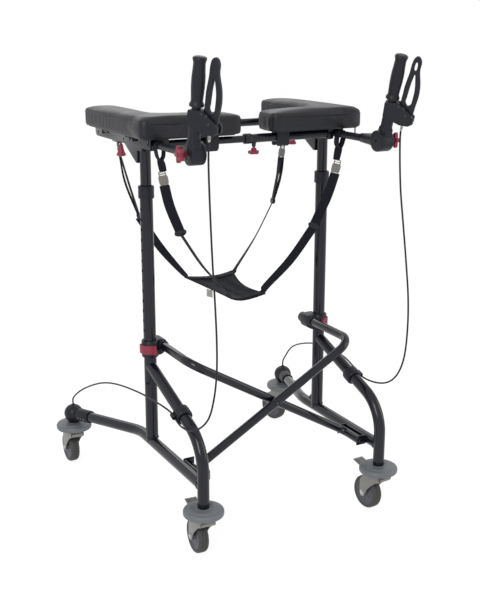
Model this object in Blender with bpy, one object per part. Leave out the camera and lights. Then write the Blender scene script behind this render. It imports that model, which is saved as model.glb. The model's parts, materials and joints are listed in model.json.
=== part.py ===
# Forearm gait trainer: two welded side frames on four casters, joined by a folding cross brace, with a
# height adjustable top that carries two forearm pads, two tilting hand grips with loop brake levers and a
# hanging sling seat. Metres, +Z up. The user stands at +Y and looks towards -Y, where the hand grips are.
import math

import bmesh
import bpy
from mathutils import Matrix, Vector

# Layout of the base: the posts stand in the middle of the side frames
POST_HALF = 0.265
POST_Y = -0.0288
FRONT_REACH = 0.3155
REAR_REACH = 0.3675
REAR_HALF = 0.364
FRONT_Y = POST_Y - FRONT_REACH
REAR_Y = POST_Y + REAR_REACH

# Casters
WHEEL_RADIUS = 0.046
WHEEL_WIDTH = 0.0275
WHEEL_SIDES = 20
HUB_WIDTH = 0.031
HUB_RADIUS = 0.031
TRAIL = 0.040
AXLE_RADIUS = 0.004
RUNNING_GAP = 0.0004
STEM_RADIUS = 0.0055
FORK_PLATE = 0.0025
FORK_TOP_Z = 0.1125
FORK_SIDE_GAP = 0.0025
FORK_LIP = 0.033
RING_RADIUS = 0.052
RING_Z = 0.129
RING_RIM_HEIGHT = 0.015
RING_TOP_Z = RING_Z + 0.012
RING_BOTTOM_Z = RING_Z - 0.013
RING_SIDES = 18
SEAT_GAP = 0.0003
FRONT_TURN = {-1: -3.0, 1: 5.0}
REAR_TURN = {-1: 0.0, 1: 15.0}
PEDAL_WIDTH = 0.032
PEDAL_PIVOT = (0.002, 0.1015)
PEDAL_RISE = 6.5
SHOE_TRAVEL = 0.002
SHOE_CLEARANCE = 0.0004
BOLT_HEAD = 0.0075

# Side frame tubes
RAIL_RADIUS = 0.0149
LEG_RADIUS = 0.0153
RAIL_Z = 0.199
RAIL_BEND_Y = POST_Y + 0.078
RAIL_BEND_RADIUS = 0.09
BALL_RADIUS = 0.0275
BALL_Z = 0.168
SLEEVE_RADIUS = 0.0187
SLEEVE_LENGTH = 0.083
SOCKET_NECK = 0.017
LEG_INSERT = 0.036
LEG_TOP_Z = 0.418
LEG_CORNER_Z = 0.306
LEG_BEND_RADIUS = 0.105
LEG_BOTTOM_Z = RING_TOP_Z + SEAT_GAP
STEM_BORE_DEPTH = 0.030
POST_RADIUS = 0.0168
POST_TOP_Z = 0.885
POST_BORE_BOTTOM = 0.254
INNER_RADIUS = 0.0144
INNER_WALL = 0.002
POST_CLEARANCE = 0.0006
HOLE_COUNT = 13
HOLE_PITCH = 0.027
HOLE_TOP_Z = 0.841
HOLE_RADIUS = 0.0046
BUTTON_HOLE = 7
BUTTON_RADIUS = 0.0036
SCREW_RADIUS = 0.003
GUSSET_SIZE = 0.036
PLATE = 0.004

# Cross brace: equal arms, so the posts stay upright as the frame folds
BRACE_RADIUS = 0.0115
BRACE_SPACE = 0.0027
PIVOT_HALF = POST_HALF - POST_RADIUS - BRACE_RADIUS - BRACE_SPACE
PIVOT_LOW_Z = 0.200
PIVOT_HIGH_Z = 0.472
BRACE_Y = {"rear": POST_Y - 0.190, "front": POST_Y - 0.2145}
BRACE_UPPER_BEND = 0.045
BRACE_LOWER_BEND = 0.024
BRACE_SLEEVE_FRONT = POST_Y - 0.266
EAR_GAP = 0.0006
EAR_REAR_Y = BRACE_Y["rear"] + BRACE_RADIUS + EAR_GAP + PLATE / 2
EAR_FRONT_Y = BRACE_SLEEVE_FRONT - EAR_GAP - PLATE / 2
PIN_RADIUS = 0.004
CLAMP_HEIGHT = 0.046
CLAMP_Z = 0.466
CLAMP_WALL = 0.0055
CLAMP_CLEARANCE = 0.0005
BUTTON_GROOVE = (0.011, 0.0030)
BOSS_RADIUS = 0.0145
BOSS_REAR_Y = POST_Y + 0.042
BOSS_FRONT_Y = POST_Y - 0.024
BOSS_CLEARANCE = 0.0005
LATCH_WALL = 0.0036
LATCH_HEIGHT = 0.024
LATCH_GAP = 0.0006

# Collar at the top of each post
COLLAR_RADIUS = 0.0205
COLLAR_BOTTOM_Z = 0.869
COLLAR_TOP_Z = 0.901

# Top frame
CHANNEL_HALF = 0.0175
CHANNEL_WALL = 0.0035
CHANNEL_BOTTOM_Z = 0.999
CHANNEL_TOP_Z = 1.0265
CHANNEL_FRONT_Y = POST_Y - 0.075
CHANNEL_REAR_Y = POST_Y + 0.306
CHANNEL_NOSE = 0.013
TOP_BLOCK = (0.020, 0.009)
TOP_GUSSET = (0.085, 0.042)
ARM_Z = 1.012
ARM_RADIUS = 0.0095
INNER_TOP_Z = CHANNEL_BOTTOM_Z + 0.001
INNER_BOTTOM_Z = 0.619
BAR_Z = 1.012
FRONT_BAR_Y = POST_Y - 0.064
REAR_BAR_Y = POST_Y + 0.296
BAR_RADIUS = 0.0093
BAR_CLEARANCE = 0.0005
BAR_SLEEVE_RADIUS = 0.0113
BAR_COLLAR_RADIUS = 0.0136
BAR_COLLAR_LENGTH = 0.019
SLEEVE_MOUTH_X = -0.016
BAR_END_X = 0.026
SOCKET_LENGTH = 0.014
SOCKET_SIZE = (0.027, 0.0245)
CLAMP_KNOB_Y = POST_Y + 0.163
CLAMP_STRAP_LENGTH = 0.034

# Forearm pads
PAD_OVERHANG = 0.058
PAD_OUTER = POST_HALF + PAD_OVERHANG
PAD_INNER = 0.046
PAD_ARM_WIDTH = 0.097
PAD_LIMB_DEPTH = 0.106
PAD_FRONT_Y = POST_Y - 0.117
PAD_REAR_Y = POST_Y + 0.296
PAD_CORNER = 0.021
PAD_INNER_CORNER = 0.075
PAD_BOTTOM_Z = 1.0345
PAD_TOP_Z = 1.0775
PAD_CROWN = 0.0045
PAD_PINCH = 0.003
BOARD_THICKNESS = 0.006
BOARD_INSET = 0.011
HINGE_OUT = 0.0235
HINGE_Z = 1.0215
HINGE_PIN_RADIUS = 0.003
KNUCKLE_RADIUS = 0.0055
KNUCKLE_LENGTH = 0.030
SADDLE_X = {-1: -0.114, 1: 0.093}
SADDLE_SIZE = (0.036, 0.031)
SADDLE_BOTTOM_Z = 0.983
SADDLE_CLEARANCE = 0.0006

# Handles
HUB_Y = POST_Y - 0.282
HUB_Z = 1.0145
HUB_RADIUS_OUT = 0.0268
HUB_INNER_X = POST_HALF - 0.0224
HUB_SPLIT_X = POST_HALF - 0.0150
HUB_OUTER_X = POST_HALF + 0.0155
TILT_PIN_RADIUS = 0.005
TILT_PIN_END = HUB_OUTER_X - 0.008
ARM_REAR_Y = POST_Y + 0.215
ARM_SOCKET_Y = HUB_Y + 0.092
ARM_SOCKET_RADIUS = 0.0195
HANDLE_TILT = {-1: 10.5, 1: 16.5}
LEVER_TURN = {-1: 35.0, 1: 45.0}
STEM_TUBE_RADIUS = 0.0150
STEM_TUBE_TOP = 0.075
NECK_RADIUS = 0.0108
HOUSING_HALF = 0.0150
HOUSING_FLOOR = 0.053
GRIP_BOTTOM = 0.1108
GRIP_LENGTH = 0.1105
GRIP_RADIUS = 0.0138
GRIP_BULGE = 0.0022
GRIP_FLANGE = 0.0172
LEVER_HALF = 0.0055
LEVER_PIVOT = (0.041, 0.0790)
LEVER_PIN_RADIUS = 0.003
BORE_FIT = 0.0004
ADJUSTER_PLACE = 0.038
ADJUSTER_RADIUS = 0.0038
ADJUSTER_LENGTH = 0.017
KNOB_LOBES = 5
WIDTH_KNOB_X = 0.013
WIDTH_KNOB = {"screw": 0.0300, "radius": 0.0150, "thick": 0.009, "neck": 0.007}
REACH_KNOB = {"screw": 0.0440, "radius": 0.0130, "thick": 0.006, "neck": 0.024}
TILT_KNOB = {"screw": 0.0317, "radius": 0.0205, "thick": 0.011, "neck": 0.012}
TILT_KNOB_OUT = 0.0245

# Cables and sling
CABLE_RADIUS = 0.0024
STRAP_WIDTH = 0.024
STRAP_THICKNESS = 0.0030
SLING_THICKNESS = 0.0040
SLING_REAR = (0.077, POST_Y + 0.179, 0.597)
SLING_FRONT = (0.052, POST_Y - 0.059, 0.589)
SLING_SAG = 0.016
SLING_WAIST = 0.016
SLING_BOW = 0.022
SLING_DIP = 0.008
STRAP_SEAM = 0.34
STRAP_EDGE = 0.52
STRAP_PLACE = {"front": 0.06, "rear": 0.94}
STRAP_PATH = {
    "front": [
        (POST_HALF - 0.066, POST_Y - 0.062, 0.769), (POST_HALF - 0.010, POST_Y - 0.082, 0.926),
        (POST_HALF, POST_Y - 0.082, ARM_Z - ARM_RADIUS - SEAT_GAP),
    ],
    "rear": [
        (POST_HALF - 0.053, POST_Y + 0.180, 0.783), (POST_HALF - 0.027, POST_Y + 0.180, 0.932),
        (POST_HALF - 0.003, POST_Y + 0.200, CHANNEL_BOTTOM_Z - 0.0009),
    ],
}
CLIP_PLACE_Y = {-1: POST_Y - 0.200, 1: POST_Y - 0.177}
CLIP_LENGTH = 0.023
CLIP_WALL = 0.0045
CLIP_EYE_OUT = 0.0252
CLIP_EYE_RADIUS = 0.0070

SIDES = {-1: "left", 1: "right"}


# Scene, materials and small helpers

def clear_scene():
    for old in list(bpy.data.objects):
        bpy.data.objects.remove(old, do_unlink=True)


def new_collection(name):
    made = bpy.data.collections.new(name)
    bpy.context.scene.collection.children.link(made)
    return made


clear_scene()
PARTS = new_collection("gait_trainer")
HELPERS = new_collection("cutters")


def material(name, color, roughness, metallic=0.0):
    made = bpy.data.materials.new(name)
    made.use_nodes = True
    shader = made.node_tree.nodes["Principled BSDF"]
    shader.inputs["Base Color"].default_value = (*color, 1.0)
    shader.inputs["Roughness"].default_value = roughness
    shader.inputs["Metallic"].default_value = metallic
    return made


TUBE_PAINT = material("tube_paint", (0.045, 0.047, 0.055), 0.28, 0.35)
BLACK_PLASTIC = material("black_plastic", (0.040, 0.041, 0.046), 0.48)
GRIP_RUBBER = material("grip_rubber", (0.028, 0.028, 0.032), 0.70)
PAD_VINYL = material("pad_vinyl", (0.018, 0.018, 0.022), 0.38)
BUMPER_GREY = material("bumper_grey", (0.17, 0.19, 0.21), 0.45)
FORK_STEEL = material("fork_steel", (0.26, 0.26, 0.25), 0.35, 0.8)
TYRE_GREY = material("tyre_grey", (0.11, 0.11, 0.11), 0.65)
KNOB_RED = material("knob_red", (0.30, 0.018, 0.045), 0.42)
WEBBING_BLACK = material("webbing_black", (0.016, 0.016, 0.019), 0.85)
CABLE_BLACK = material("cable_black", (0.012, 0.012, 0.014), 0.40)


def link(obj, collection):
    for held in list(obj.users_collection):
        held.objects.unlink(obj)
    collection.objects.link(obj)


def part(obj, name, finish, origin=None):
    """Names the object, gives it its material and puts its origin on its joint's axis."""
    obj.name = name
    obj.data.name = name
    obj.data.materials.clear()
    obj.data.materials.append(finish)
    link(obj, PARTS)
    if origin is not None:
        shift = Vector(origin)
        obj.data.transform(Matrix.Translation(-shift))
        obj.location = obj.location + shift
    for polygon in obj.data.polygons:
        polygon.use_smooth = True
    obj.data.set_sharp_from_angle(angle=math.radians(40))
    return obj


def helper(obj, name="helper"):
    obj.name = name
    link(obj, HELPERS)
    obj.hide_render = True
    obj.display_type = "WIRE"
    return obj


def boolean(target, other, operation):
    helper(other, target.name + "_" + operation.lower())
    modifier = target.modifiers.new(operation.lower(), "BOOLEAN")
    modifier.object = other
    modifier.operation = operation
    modifier.solver = "EXACT"
    return target


def join(target, *others):
    for other in others:
        boolean(target, other, "UNION")
    return target


def cut(target, *others):
    for other in others:
        boolean(target, other, "DIFFERENCE")
    return target


def object_of(shape, name):
    mesh = bpy.data.meshes.new(name)
    shape.to_mesh(mesh)
    shape.free()
    obj = bpy.data.objects.new(name, mesh)
    bpy.context.scene.collection.objects.link(obj)
    return obj


def along(axis):
    """A rotation that takes +Z to the axis, with a flat of the polygon kept level."""
    direction = Vector(axis).normalized()
    return direction.to_track_quat("Z", "Y").to_matrix().to_4x4()


def cone(start, end, radius, end_radius, sides=16):
    a, b = Vector(start), Vector(end)
    shape = bmesh.new()
    place = Matrix.Translation((a + b) / 2) @ along(b - a) @ Matrix.Rotation(math.pi / sides, 4, "Z")
    bmesh.ops.create_cone(
        shape, cap_ends=True, segments=sides, radius1=radius, radius2=end_radius,
        depth=(b - a).length, matrix=place,
    )
    return object_of(shape, "cone")


def rod(start, end, radius, sides=16):
    return cone(start, end, radius, radius, sides)


def box(low, high):
    low, high = Vector(low), Vector(high)
    shape = bmesh.new()
    size = Matrix.Diagonal((*(high - low), 1.0))
    bmesh.ops.create_cube(shape, size=1.0, matrix=Matrix.Translation((low + high) / 2) @ size)
    return object_of(shape, "box")


def ball(centre, radius, rings=10, sides=16):
    shape = bmesh.new()
    bmesh.ops.create_uvsphere(
        shape, u_segments=sides, v_segments=rings, radius=radius, matrix=Matrix.Translation(centre)
    )
    return object_of(shape, "ball")


def around(radius, gap, sides=12):
    """Radius of a bore with so many sides that clears a rod of the given radius by the gap."""
    return (radius + gap) / math.cos(math.pi / sides)


def mesh_from(obj):
    """The object as a closed mesh, with its place kept, so that a Boolean can use it."""
    graph = bpy.context.evaluated_depsgraph_get()
    mesh = bpy.data.meshes.new_from_object(obj.evaluated_get(graph))
    shape = bmesh.new()
    shape.from_mesh(mesh)
    bmesh.ops.remove_doubles(shape, verts=shape.verts, dist=0.00002)
    bmesh.ops.recalc_face_normals(shape, faces=shape.faces)
    shape.to_mesh(mesh)
    shape.free()
    made = bpy.data.objects.new(obj.name, mesh)
    made.matrix_world = obj.matrix_world.copy()
    bpy.context.scene.collection.objects.link(made)
    bpy.data.objects.remove(obj, do_unlink=True)
    return made


def bent_tube(points, radius, resolution=2):
    """A tube along the points; bevel resolution 2 gives eight sides, 4 gives twelve."""
    curve = bpy.data.curves.new("tube", "CURVE")
    curve.dimensions = "3D"
    curve.bevel_depth = radius
    curve.bevel_resolution = resolution
    curve.use_fill_caps = True
    spline = curve.splines.new("POLY")
    spline.points.add(len(points) - 1)
    for point, place in zip(spline.points, points):
        point.co = (*place, 1.0)
    obj = bpy.data.objects.new("tube", curve)
    bpy.context.scene.collection.objects.link(obj)
    return mesh_from(obj)


def arc_corner(before, corner, after, radius, steps):
    """Points of the arc that rounds a corner of a path."""
    before, corner, after = Vector(before), Vector(corner), Vector(after)
    to_before = (before - corner).normalized()
    to_after = (after - corner).normalized()
    half = to_before.angle(to_after) / 2
    reach = radius / math.tan(half)
    centre = corner + (to_before + to_after).normalized() * (radius / math.sin(half))
    start = corner + to_before * reach - centre
    turn = math.pi - 2 * half
    axis = start.cross(corner + to_after * reach - centre).normalized()
    return [centre + Matrix.Rotation(turn * i / steps, 3, axis) @ start for i in range(steps + 1)]


def rounded_path(corners, radii, steps=5):
    points = [Vector(corners[0])]
    for i, radius in enumerate(radii):
        points += arc_corner(corners[i], corners[i + 1], corners[i + 2], radius, steps)
    return points + [Vector(corners[-1])]


def smooth_curve(knots, per_span):
    """A centripetal Catmull-Rom curve through the knots."""
    knots = [Vector(k) for k in knots]
    ends = [2 * knots[0] - knots[1]] + knots + [2 * knots[-1] - knots[-2]]
    points = []
    for i in range(len(knots) - 1):
        p = ends[i:i + 4]
        t = [0.0]
        for before, after in zip(p, p[1:]):
            t.append(t[-1] + math.sqrt((after - before).length))
        for j in range(per_span):
            at = t[1] + (t[2] - t[1]) * j / per_span
            lines = [p[k].lerp(p[k + 1], (at - t[k]) / (t[k + 1] - t[k])) for k in range(3)]
            bends = [lines[k].lerp(lines[k + 1], (at - t[k]) / (t[k + 2] - t[k])) for k in range(2)]
            points.append(bends[0].lerp(bends[1], (at - t[1]) / (t[2] - t[1])))
    return points + [knots[-1]]


def slab(outline, half, plane):
    """A flat outline, extruded by half to each side. plane places its X, Y and normal in space."""
    curve = bpy.data.curves.new("slab", "CURVE")
    curve.dimensions = "2D"
    curve.fill_mode = "BOTH"
    curve.extrude = half
    loops = outline if isinstance(outline[0][0], (tuple, list, Vector)) else [outline]
    for loop in loops:
        spline = curve.splines.new("POLY")
        spline.points.add(len(loop) - 1)
        for point, place in zip(spline.points, loop):
            point.co = (place[0], place[1], 0.0, 1.0)
        spline.use_cyclic_u = True
    obj = bpy.data.objects.new("slab", curve)
    bpy.context.scene.collection.objects.link(obj)
    made = mesh_from(obj)
    made.data.transform(plane)
    return made


def plane_of(origin, across, up):
    """The matrix that puts a flat outline's X along across and its Y along up."""
    x, y = Vector(across).normalized(), Vector(up).normalized()
    z = x.cross(y)
    made = Matrix((x, y, z)).transposed().to_4x4()
    made.translation = Vector(origin)
    return made


def turned(profile, sides, place=None):
    """A solid of revolution about local Z from (radius, height) points, run down the outer side."""
    shape = bmesh.new()
    rings = []
    for radius, height in profile:
        if radius <= 0.0:
            rings.append([shape.verts.new((0.0, 0.0, height))])
            continue
        rings.append([
            shape.verts.new((
                radius * math.cos(2 * math.pi * (i + 0.5) / sides),
                radius * math.sin(2 * math.pi * (i + 0.5) / sides),
                height,
            ))
            for i in range(sides)
        ])
    closed = len(rings[0]) > 1
    pairs = list(zip(rings, rings[1:] + rings[:1])) if closed else list(zip(rings, rings[1:]))
    for upper, lower in pairs:
        for i in range(sides):
            corners = [upper[i % len(upper)], lower[i % len(lower)],
                       lower[(i + 1) % len(lower)], upper[(i + 1) % len(upper)]]
            ring = [v for k, v in enumerate(corners) if v not in corners[:k]]
            shape.faces.new(ring)
    bmesh.ops.recalc_face_normals(shape, faces=shape.faces)
    obj = object_of(shape, "turned")
    if place is not None:
        obj.data.transform(place)
    return obj


def moved(obj, matrix):
    """Sets the place of an object made at the origin, and takes its cutters along."""
    for modifier in obj.modifiers:
        moved(modifier.object, matrix)
    obj.matrix_world = matrix
    return obj


# Side frames

def ball_centre(side):
    return Vector((side * REAR_HALF, REAR_Y, BALL_Z))


def rail_bend(side):
    return Vector((side * POST_HALF, RAIL_BEND_Y, RAIL_Z))


def rear_leg_direction(side):
    return (ball_centre(side) - rail_bend(side)).normalized()


def rail_tube(side):
    x = side * POST_HALF
    end = ball_centre(side) - rear_leg_direction(side) * LEG_INSERT
    path = rounded_path([(x, FRONT_Y + 0.004, RAIL_Z), rail_bend(side), end], [RAIL_BEND_RADIUS * 2], 4)
    return bent_tube(path, RAIL_RADIUS, 3)


def front_leg_path(side):
    x = side * POST_HALF
    corners = [(x, POST_Y, LEG_TOP_Z), (x, FRONT_Y, LEG_CORNER_Z), (x, FRONT_Y, LEG_BOTTOM_Z)]
    return rounded_path(corners, [LEG_BEND_RADIUS], 5)


def hole_cutters(side):
    """The column of adjustment holes in the outer wall of the post."""
    for i in range(HOLE_COUNT):
        z = HOLE_TOP_Z - HOLE_PITCH * i
        inner = (side * (POST_HALF + POST_RADIUS - 0.006), POST_Y, z)
        outer = (side * (POST_HALF + POST_RADIUS + 0.004), POST_Y, z)
        yield rod(inner, outer, HOLE_RADIUS, 6)


def span_box(x_ends, y_ends, z_ends):
    """A box between two places on each axis, in either order."""
    ends = [sorted(pair) for pair in (x_ends, y_ends, z_ends)]
    return box([pair[0] for pair in ends], [pair[1] for pair in ends])


def pivot_bracket(side):
    """The channel on the inner side of the rail: a back plate with a front and a rear ear."""
    tip = side * (PIVOT_HALF - 0.011)
    back = side * (POST_HALF - RAIL_RADIUS + 0.003)
    heights = (PIVOT_LOW_Z - 0.0125, PIVOT_LOW_Z + 0.0135)
    plate_heights = (heights[0] + 0.002, heights[1] - 0.002)
    yield span_box((back, back - side * PLATE), (EAR_FRONT_Y, EAR_REAR_Y), plate_heights)
    for y in (EAR_FRONT_Y, EAR_REAR_Y):
        yield span_box((tip, back - side * 0.001), (y - PLATE / 2, y + PLATE / 2), heights)


def gusset(side):
    y = POST_Y + POST_RADIUS - 0.003
    z = RAIL_Z + RAIL_RADIUS - 0.004
    outline = [(y, z), (y + GUSSET_SIZE, z), (y, z + GUSSET_SIZE)]
    return slab(outline, PLATE / 2, plane_of((side * POST_HALF, 0, 0), (0, 1, 0), (0, 0, 1)))


def side_frame(side):
    x = side * POST_HALF
    frame = rod((x, POST_Y, RAIL_Z), (x, POST_Y, POST_TOP_Z), POST_RADIUS)
    join(frame, rail_tube(side), bent_tube(front_leg_path(side), LEG_RADIUS, 3), gusset(side))
    join(frame, *pivot_bracket(side))
    bore = INNER_RADIUS + POST_CLEARANCE
    cut(frame, rod((x, POST_Y, POST_BORE_BOTTOM), (x, POST_Y, POST_TOP_Z + 0.01), bore))
    cut(frame, *hole_cutters(side))
    pin_bore = around(PIN_RADIUS, RUNNING_GAP)
    pin_front = (side * PIVOT_HALF, EAR_FRONT_Y - 0.01, PIVOT_LOW_Z)
    pin_rear = (side * PIVOT_HALF, EAR_REAR_Y + 0.01, PIVOT_LOW_Z)
    cut(frame, rod(pin_front, pin_rear, pin_bore, 12))
    stem_bore = around(STEM_RADIUS, RUNNING_GAP)
    bore_top = LEG_BOTTOM_Z + STEM_BORE_DEPTH
    cut(frame, rod((x, FRONT_Y, LEG_BOTTOM_Z - 0.01), (x, FRONT_Y, bore_top), stem_bore, 12))
    return part(frame, "side_frame_" + SIDES[side], TUBE_PAINT)


def post_collar(side):
    outer = around(POST_RADIUS, RUNNING_GAP, 14)
    inner = around(INNER_RADIUS, RUNNING_GAP, 14)
    step = POST_TOP_Z + SEAT_GAP
    profile = [
        (COLLAR_RADIUS - 0.0015, COLLAR_TOP_Z), (COLLAR_RADIUS, COLLAR_TOP_Z - 0.002),
        (COLLAR_RADIUS, COLLAR_BOTTOM_Z), (outer, COLLAR_BOTTOM_Z), (outer, step), (inner, step),
        (inner, COLLAR_TOP_Z),
    ]
    collar = turned(profile, 14, Matrix.Translation((side * POST_HALF, POST_Y, 0)))
    return part(collar, "post_collar_" + SIDES[side], BLACK_PLASTIC)


def rear_socket(side):
    """The round end housing: a ball with a sleeve over the rear leg."""
    centre = ball_centre(side)
    back = -rear_leg_direction(side)
    socket = ball(centre, BALL_RADIUS, 8, 14)
    join(socket, rod(centre, centre + back * SLEEVE_LENGTH, SLEEVE_RADIUS, 12))
    bore_start = centre + back * (LEG_INSERT - SEAT_GAP)
    leg_bore = around(RAIL_RADIUS, RUNNING_GAP)
    cut(socket, rod(bore_start, centre + back * (SLEEVE_LENGTH + 0.01), leg_bore, 12))
    foot = Vector((centre.x, centre.y, RING_TOP_Z + SEAT_GAP))
    up = Vector((0, 0, 1))
    join(socket, rod(foot, foot + up * 0.02, SOCKET_NECK, 12))
    cut(socket, rod(foot - up * 0.01, foot, 0.03, 12))
    stem_bore = around(STEM_RADIUS, RUNNING_GAP)
    cut(socket, rod(foot - up * 0.01, foot + up * STEM_BORE_DEPTH, stem_bore, 12))
    return part(socket, "rear_socket_" + SIDES[side], BLACK_PLASTIC)


# Casters

def caster_place(side, end):
    """Centre of the swivel axis on the floor, and the turn of the trailing wheel."""
    x, y = (side * POST_HALF, FRONT_Y) if end == "front" else (side * REAR_HALF, REAR_Y)
    turn = (FRONT_TURN if end == "front" else REAR_TURN)[side]
    return Matrix.Translation((x, y, 0)) @ Matrix.Rotation(math.radians(turn), 4, "Z")


def bumper_ring(side, end):
    bore = around(STEM_RADIUS, RUNNING_GAP, RING_SIDES)
    half = RING_RIM_HEIGHT / 2
    profile = [
        (RING_RADIUS * 0.76, RING_TOP_Z), (RING_RADIUS - 0.003, RING_Z + half),
        (RING_RADIUS, RING_Z + half - 0.004), (RING_RADIUS, RING_Z - half + 0.003),
        (RING_RADIUS * 0.70, RING_BOTTOM_Z), (bore, RING_BOTTOM_Z), (bore, RING_TOP_Z),
    ]
    place = caster_place(side, end).translation
    ring = turned(profile, RING_SIDES, Matrix.Translation((place.x, place.y, 0)))
    return part(ring, "bumper_ring_%s_%s" % (end, SIDES[side]), BUMPER_GREY)


def fork(side, end):
    """Swivelling fork with its stem and the axle bolt, built with the wheel trailing to +Y."""
    inner = HUB_WIDTH / 2 + FORK_SIDE_GAP
    outer = inner + FORK_PLATE
    under = FORK_TOP_Z - FORK_PLATE
    lip = FORK_LIP
    crown = [(-outer, 0.030), (-outer, 0.006 - lip), (-outer + 0.005, -lip), (outer - 0.005, -lip),
             (outer, 0.006 - lip), (outer, 0.030)]
    shape = slab(crown, FORK_PLATE / 2, Matrix.Translation((0, 0, FORK_TOP_Z - FORK_PLATE / 2)))
    cheek = [
        (0.005 - lip, under + 0.001), (0.005 - lip, under - 0.010), (-0.012, under - 0.017), (0.008, 0.076),
        (TRAIL - 0.018, 0.060), (TRAIL - 0.009, 0.042), (TRAIL - 0.002, 0.0355), (TRAIL + 0.006, 0.0365),
        (TRAIL + 0.011, 0.046), (TRAIL + 0.011, 0.084), (0.030, under + 0.001),
    ]
    for x in (inner + FORK_PLATE / 2, -inner - FORK_PLATE / 2):
        join(shape, slab(cheek, FORK_PLATE / 2, plane_of((x, 0, 0), (0, 1, 0), (0, 0, 1))))
    axle = Vector((outer + 0.003, 0, 0))
    centre = Vector((0, TRAIL, WHEEL_RADIUS))
    join(shape, rod(centre - axle, centre + axle, AXLE_RADIUS, 8))
    for end_side in (-1, 1):
        face = centre + Vector((end_side * (outer - 0.0005), 0, 0))
        join(shape, rod(face, centre + end_side * axle, 0.0065, 6))
    join(shape, rod((0, 0, FORK_TOP_Z - 0.001), (0, 0, RING_BOTTOM_Z - SEAT_GAP), SOCKET_NECK))
    top = LEG_BOTTOM_Z + STEM_BORE_DEPTH - 0.003
    join(shape, rod((0, 0, FORK_TOP_Z), (0, 0, top), STEM_RADIUS, 12))
    part(shape, "caster_fork_%s_%s" % (end, SIDES[side]), FORK_STEEL)
    return moved(shape, caster_place(side, end))


def wheel(side, end):
    """Hub and bonded tread, turned about its axle, with a flat of the tread on the floor."""
    half, hub = WHEEL_WIDTH / 2, HUB_WIDTH / 2
    flat = WHEEL_RADIUS / math.cos(math.pi / WHEEL_SIDES)
    bore = AXLE_RADIUS + RUNNING_GAP
    profile = [
        (0.009, hub), (HUB_RADIUS, half), (WHEEL_RADIUS - 0.004, half), (flat, half - 0.006),
        (flat, -half + 0.006), (WHEEL_RADIUS - 0.004, -half), (HUB_RADIUS, -half), (0.009, -hub),
        (bore, -hub), (bore, hub),
    ]
    shape = turned(profile, WHEEL_SIDES, Matrix.Rotation(math.pi / 2, 4, "Y"))
    part(shape, "wheel_%s_%s" % (end, SIDES[side]), TYRE_GREY)
    return moved(shape, caster_place(side, end) @ Matrix.Translation((0, TRAIL, WHEEL_RADIUS)))


def lock_pedal(side):
    """Total lock pedal of a front caster, hinged on a pin between the fork's cheeks."""
    y, z = PEDAL_PIVOT
    profile = [
        (-0.003, -0.0025), (0.034, -0.0022), (0.058, 0.010), (0.078, 0.013), (0.078, 0.016),
        (0.056, 0.014), (0.032, 0.0022), (-0.003, 0.0025),
    ]
    shape = slab(profile, PEDAL_WIDTH / 2, plane_of((0, 0, 0), (0, 1, 0), (0, 0, 1)))
    shape.data.transform(Matrix.Rotation(math.radians(PEDAL_RISE), 4, "X"))
    reach = HUB_WIDTH / 2 + FORK_SIDE_GAP - RUNNING_GAP
    join(shape, rod((-reach, 0, 0), (reach, 0, 0), 0.0034, 8))
    part(shape, "lock_pedal_" + SIDES[side], FORK_STEEL)
    return moved(shape, caster_place(side, "front") @ Matrix.Translation((0, y, z)))


def brake_shoe(side):
    """Shoe above a rear wheel, pushed down by the cable."""
    low = WHEEL_RADIUS + around(WHEEL_RADIUS, SHOE_CLEARANCE, WHEEL_SIDES) + SHOE_TRAVEL
    high = FORK_TOP_Z - FORK_PLATE - RUNNING_GAP
    shape = box((-0.010, TRAIL - 0.022, low), (0.010, TRAIL + 0.004, low + 0.004))
    join(shape, box((-0.008, TRAIL - 0.022, low + 0.002), (0.008, TRAIL - 0.012, high)))
    part(shape, "brake_shoe_" + SIDES[side], FORK_STEEL)
    return moved(shape, caster_place(side, "rear"))


# Cross brace

def cross_brace(which):
    """A bent tube: a leg back to its clamp, the diagonal, and a leg forward in the opposite bracket."""
    top_side = 1 if which == "front" else -1
    y = BRACE_Y[which]
    top, low = top_side * PIVOT_HALF, -top_side * PIVOT_HALF
    corners = [
        (top, BOSS_REAR_Y - 0.014, PIVOT_HIGH_Z), (top, y, PIVOT_HIGH_Z), (low, y, PIVOT_LOW_Z),
        (low, BRACE_SLEEVE_FRONT, PIVOT_LOW_Z),
    ]
    path = rounded_path(corners, [BRACE_UPPER_BEND, BRACE_LOWER_BEND], 4)
    shape = bent_tube(path, BRACE_RADIUS, 3)
    join(shape, rod((low, EAR_REAR_Y + PLATE / 2 + 0.002, PIVOT_LOW_Z),
                    (low, EAR_FRONT_Y - PLATE / 2 - 0.002, PIVOT_LOW_Z), PIN_RADIUS, 12))
    join(shape, rod((low, EAR_FRONT_Y - PLATE / 2 - 0.001, PIVOT_LOW_Z),
                    (low, EAR_FRONT_Y - PLATE / 2 - 0.005, PIVOT_LOW_Z), BOLT_HEAD, 6))
    cross_z = (PIVOT_LOW_Z + PIVOT_HIGH_Z) / 2
    if which == "front":
        back = BRACE_Y["rear"] + BRACE_RADIUS + 0.003
        face = y - BRACE_RADIUS
        join(shape, rod((0, face - 0.003, cross_z), (0, back, cross_z), PIN_RADIUS, 12))
        join(shape, rod((0, face - 0.004, cross_z), (0, face + 0.001, cross_z), BOLT_HEAD, 6))
    else:
        bore = PIN_RADIUS + RUNNING_GAP
        cut(shape, rod((0, y - 0.02, cross_z), (0, y + 0.02, cross_z), bore, 12))
    origin = (low, y, PIVOT_LOW_Z) if which == "front" else (0, y, cross_z)
    return part(shape, "cross_brace_" + which, TUBE_PAINT, origin)


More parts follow.
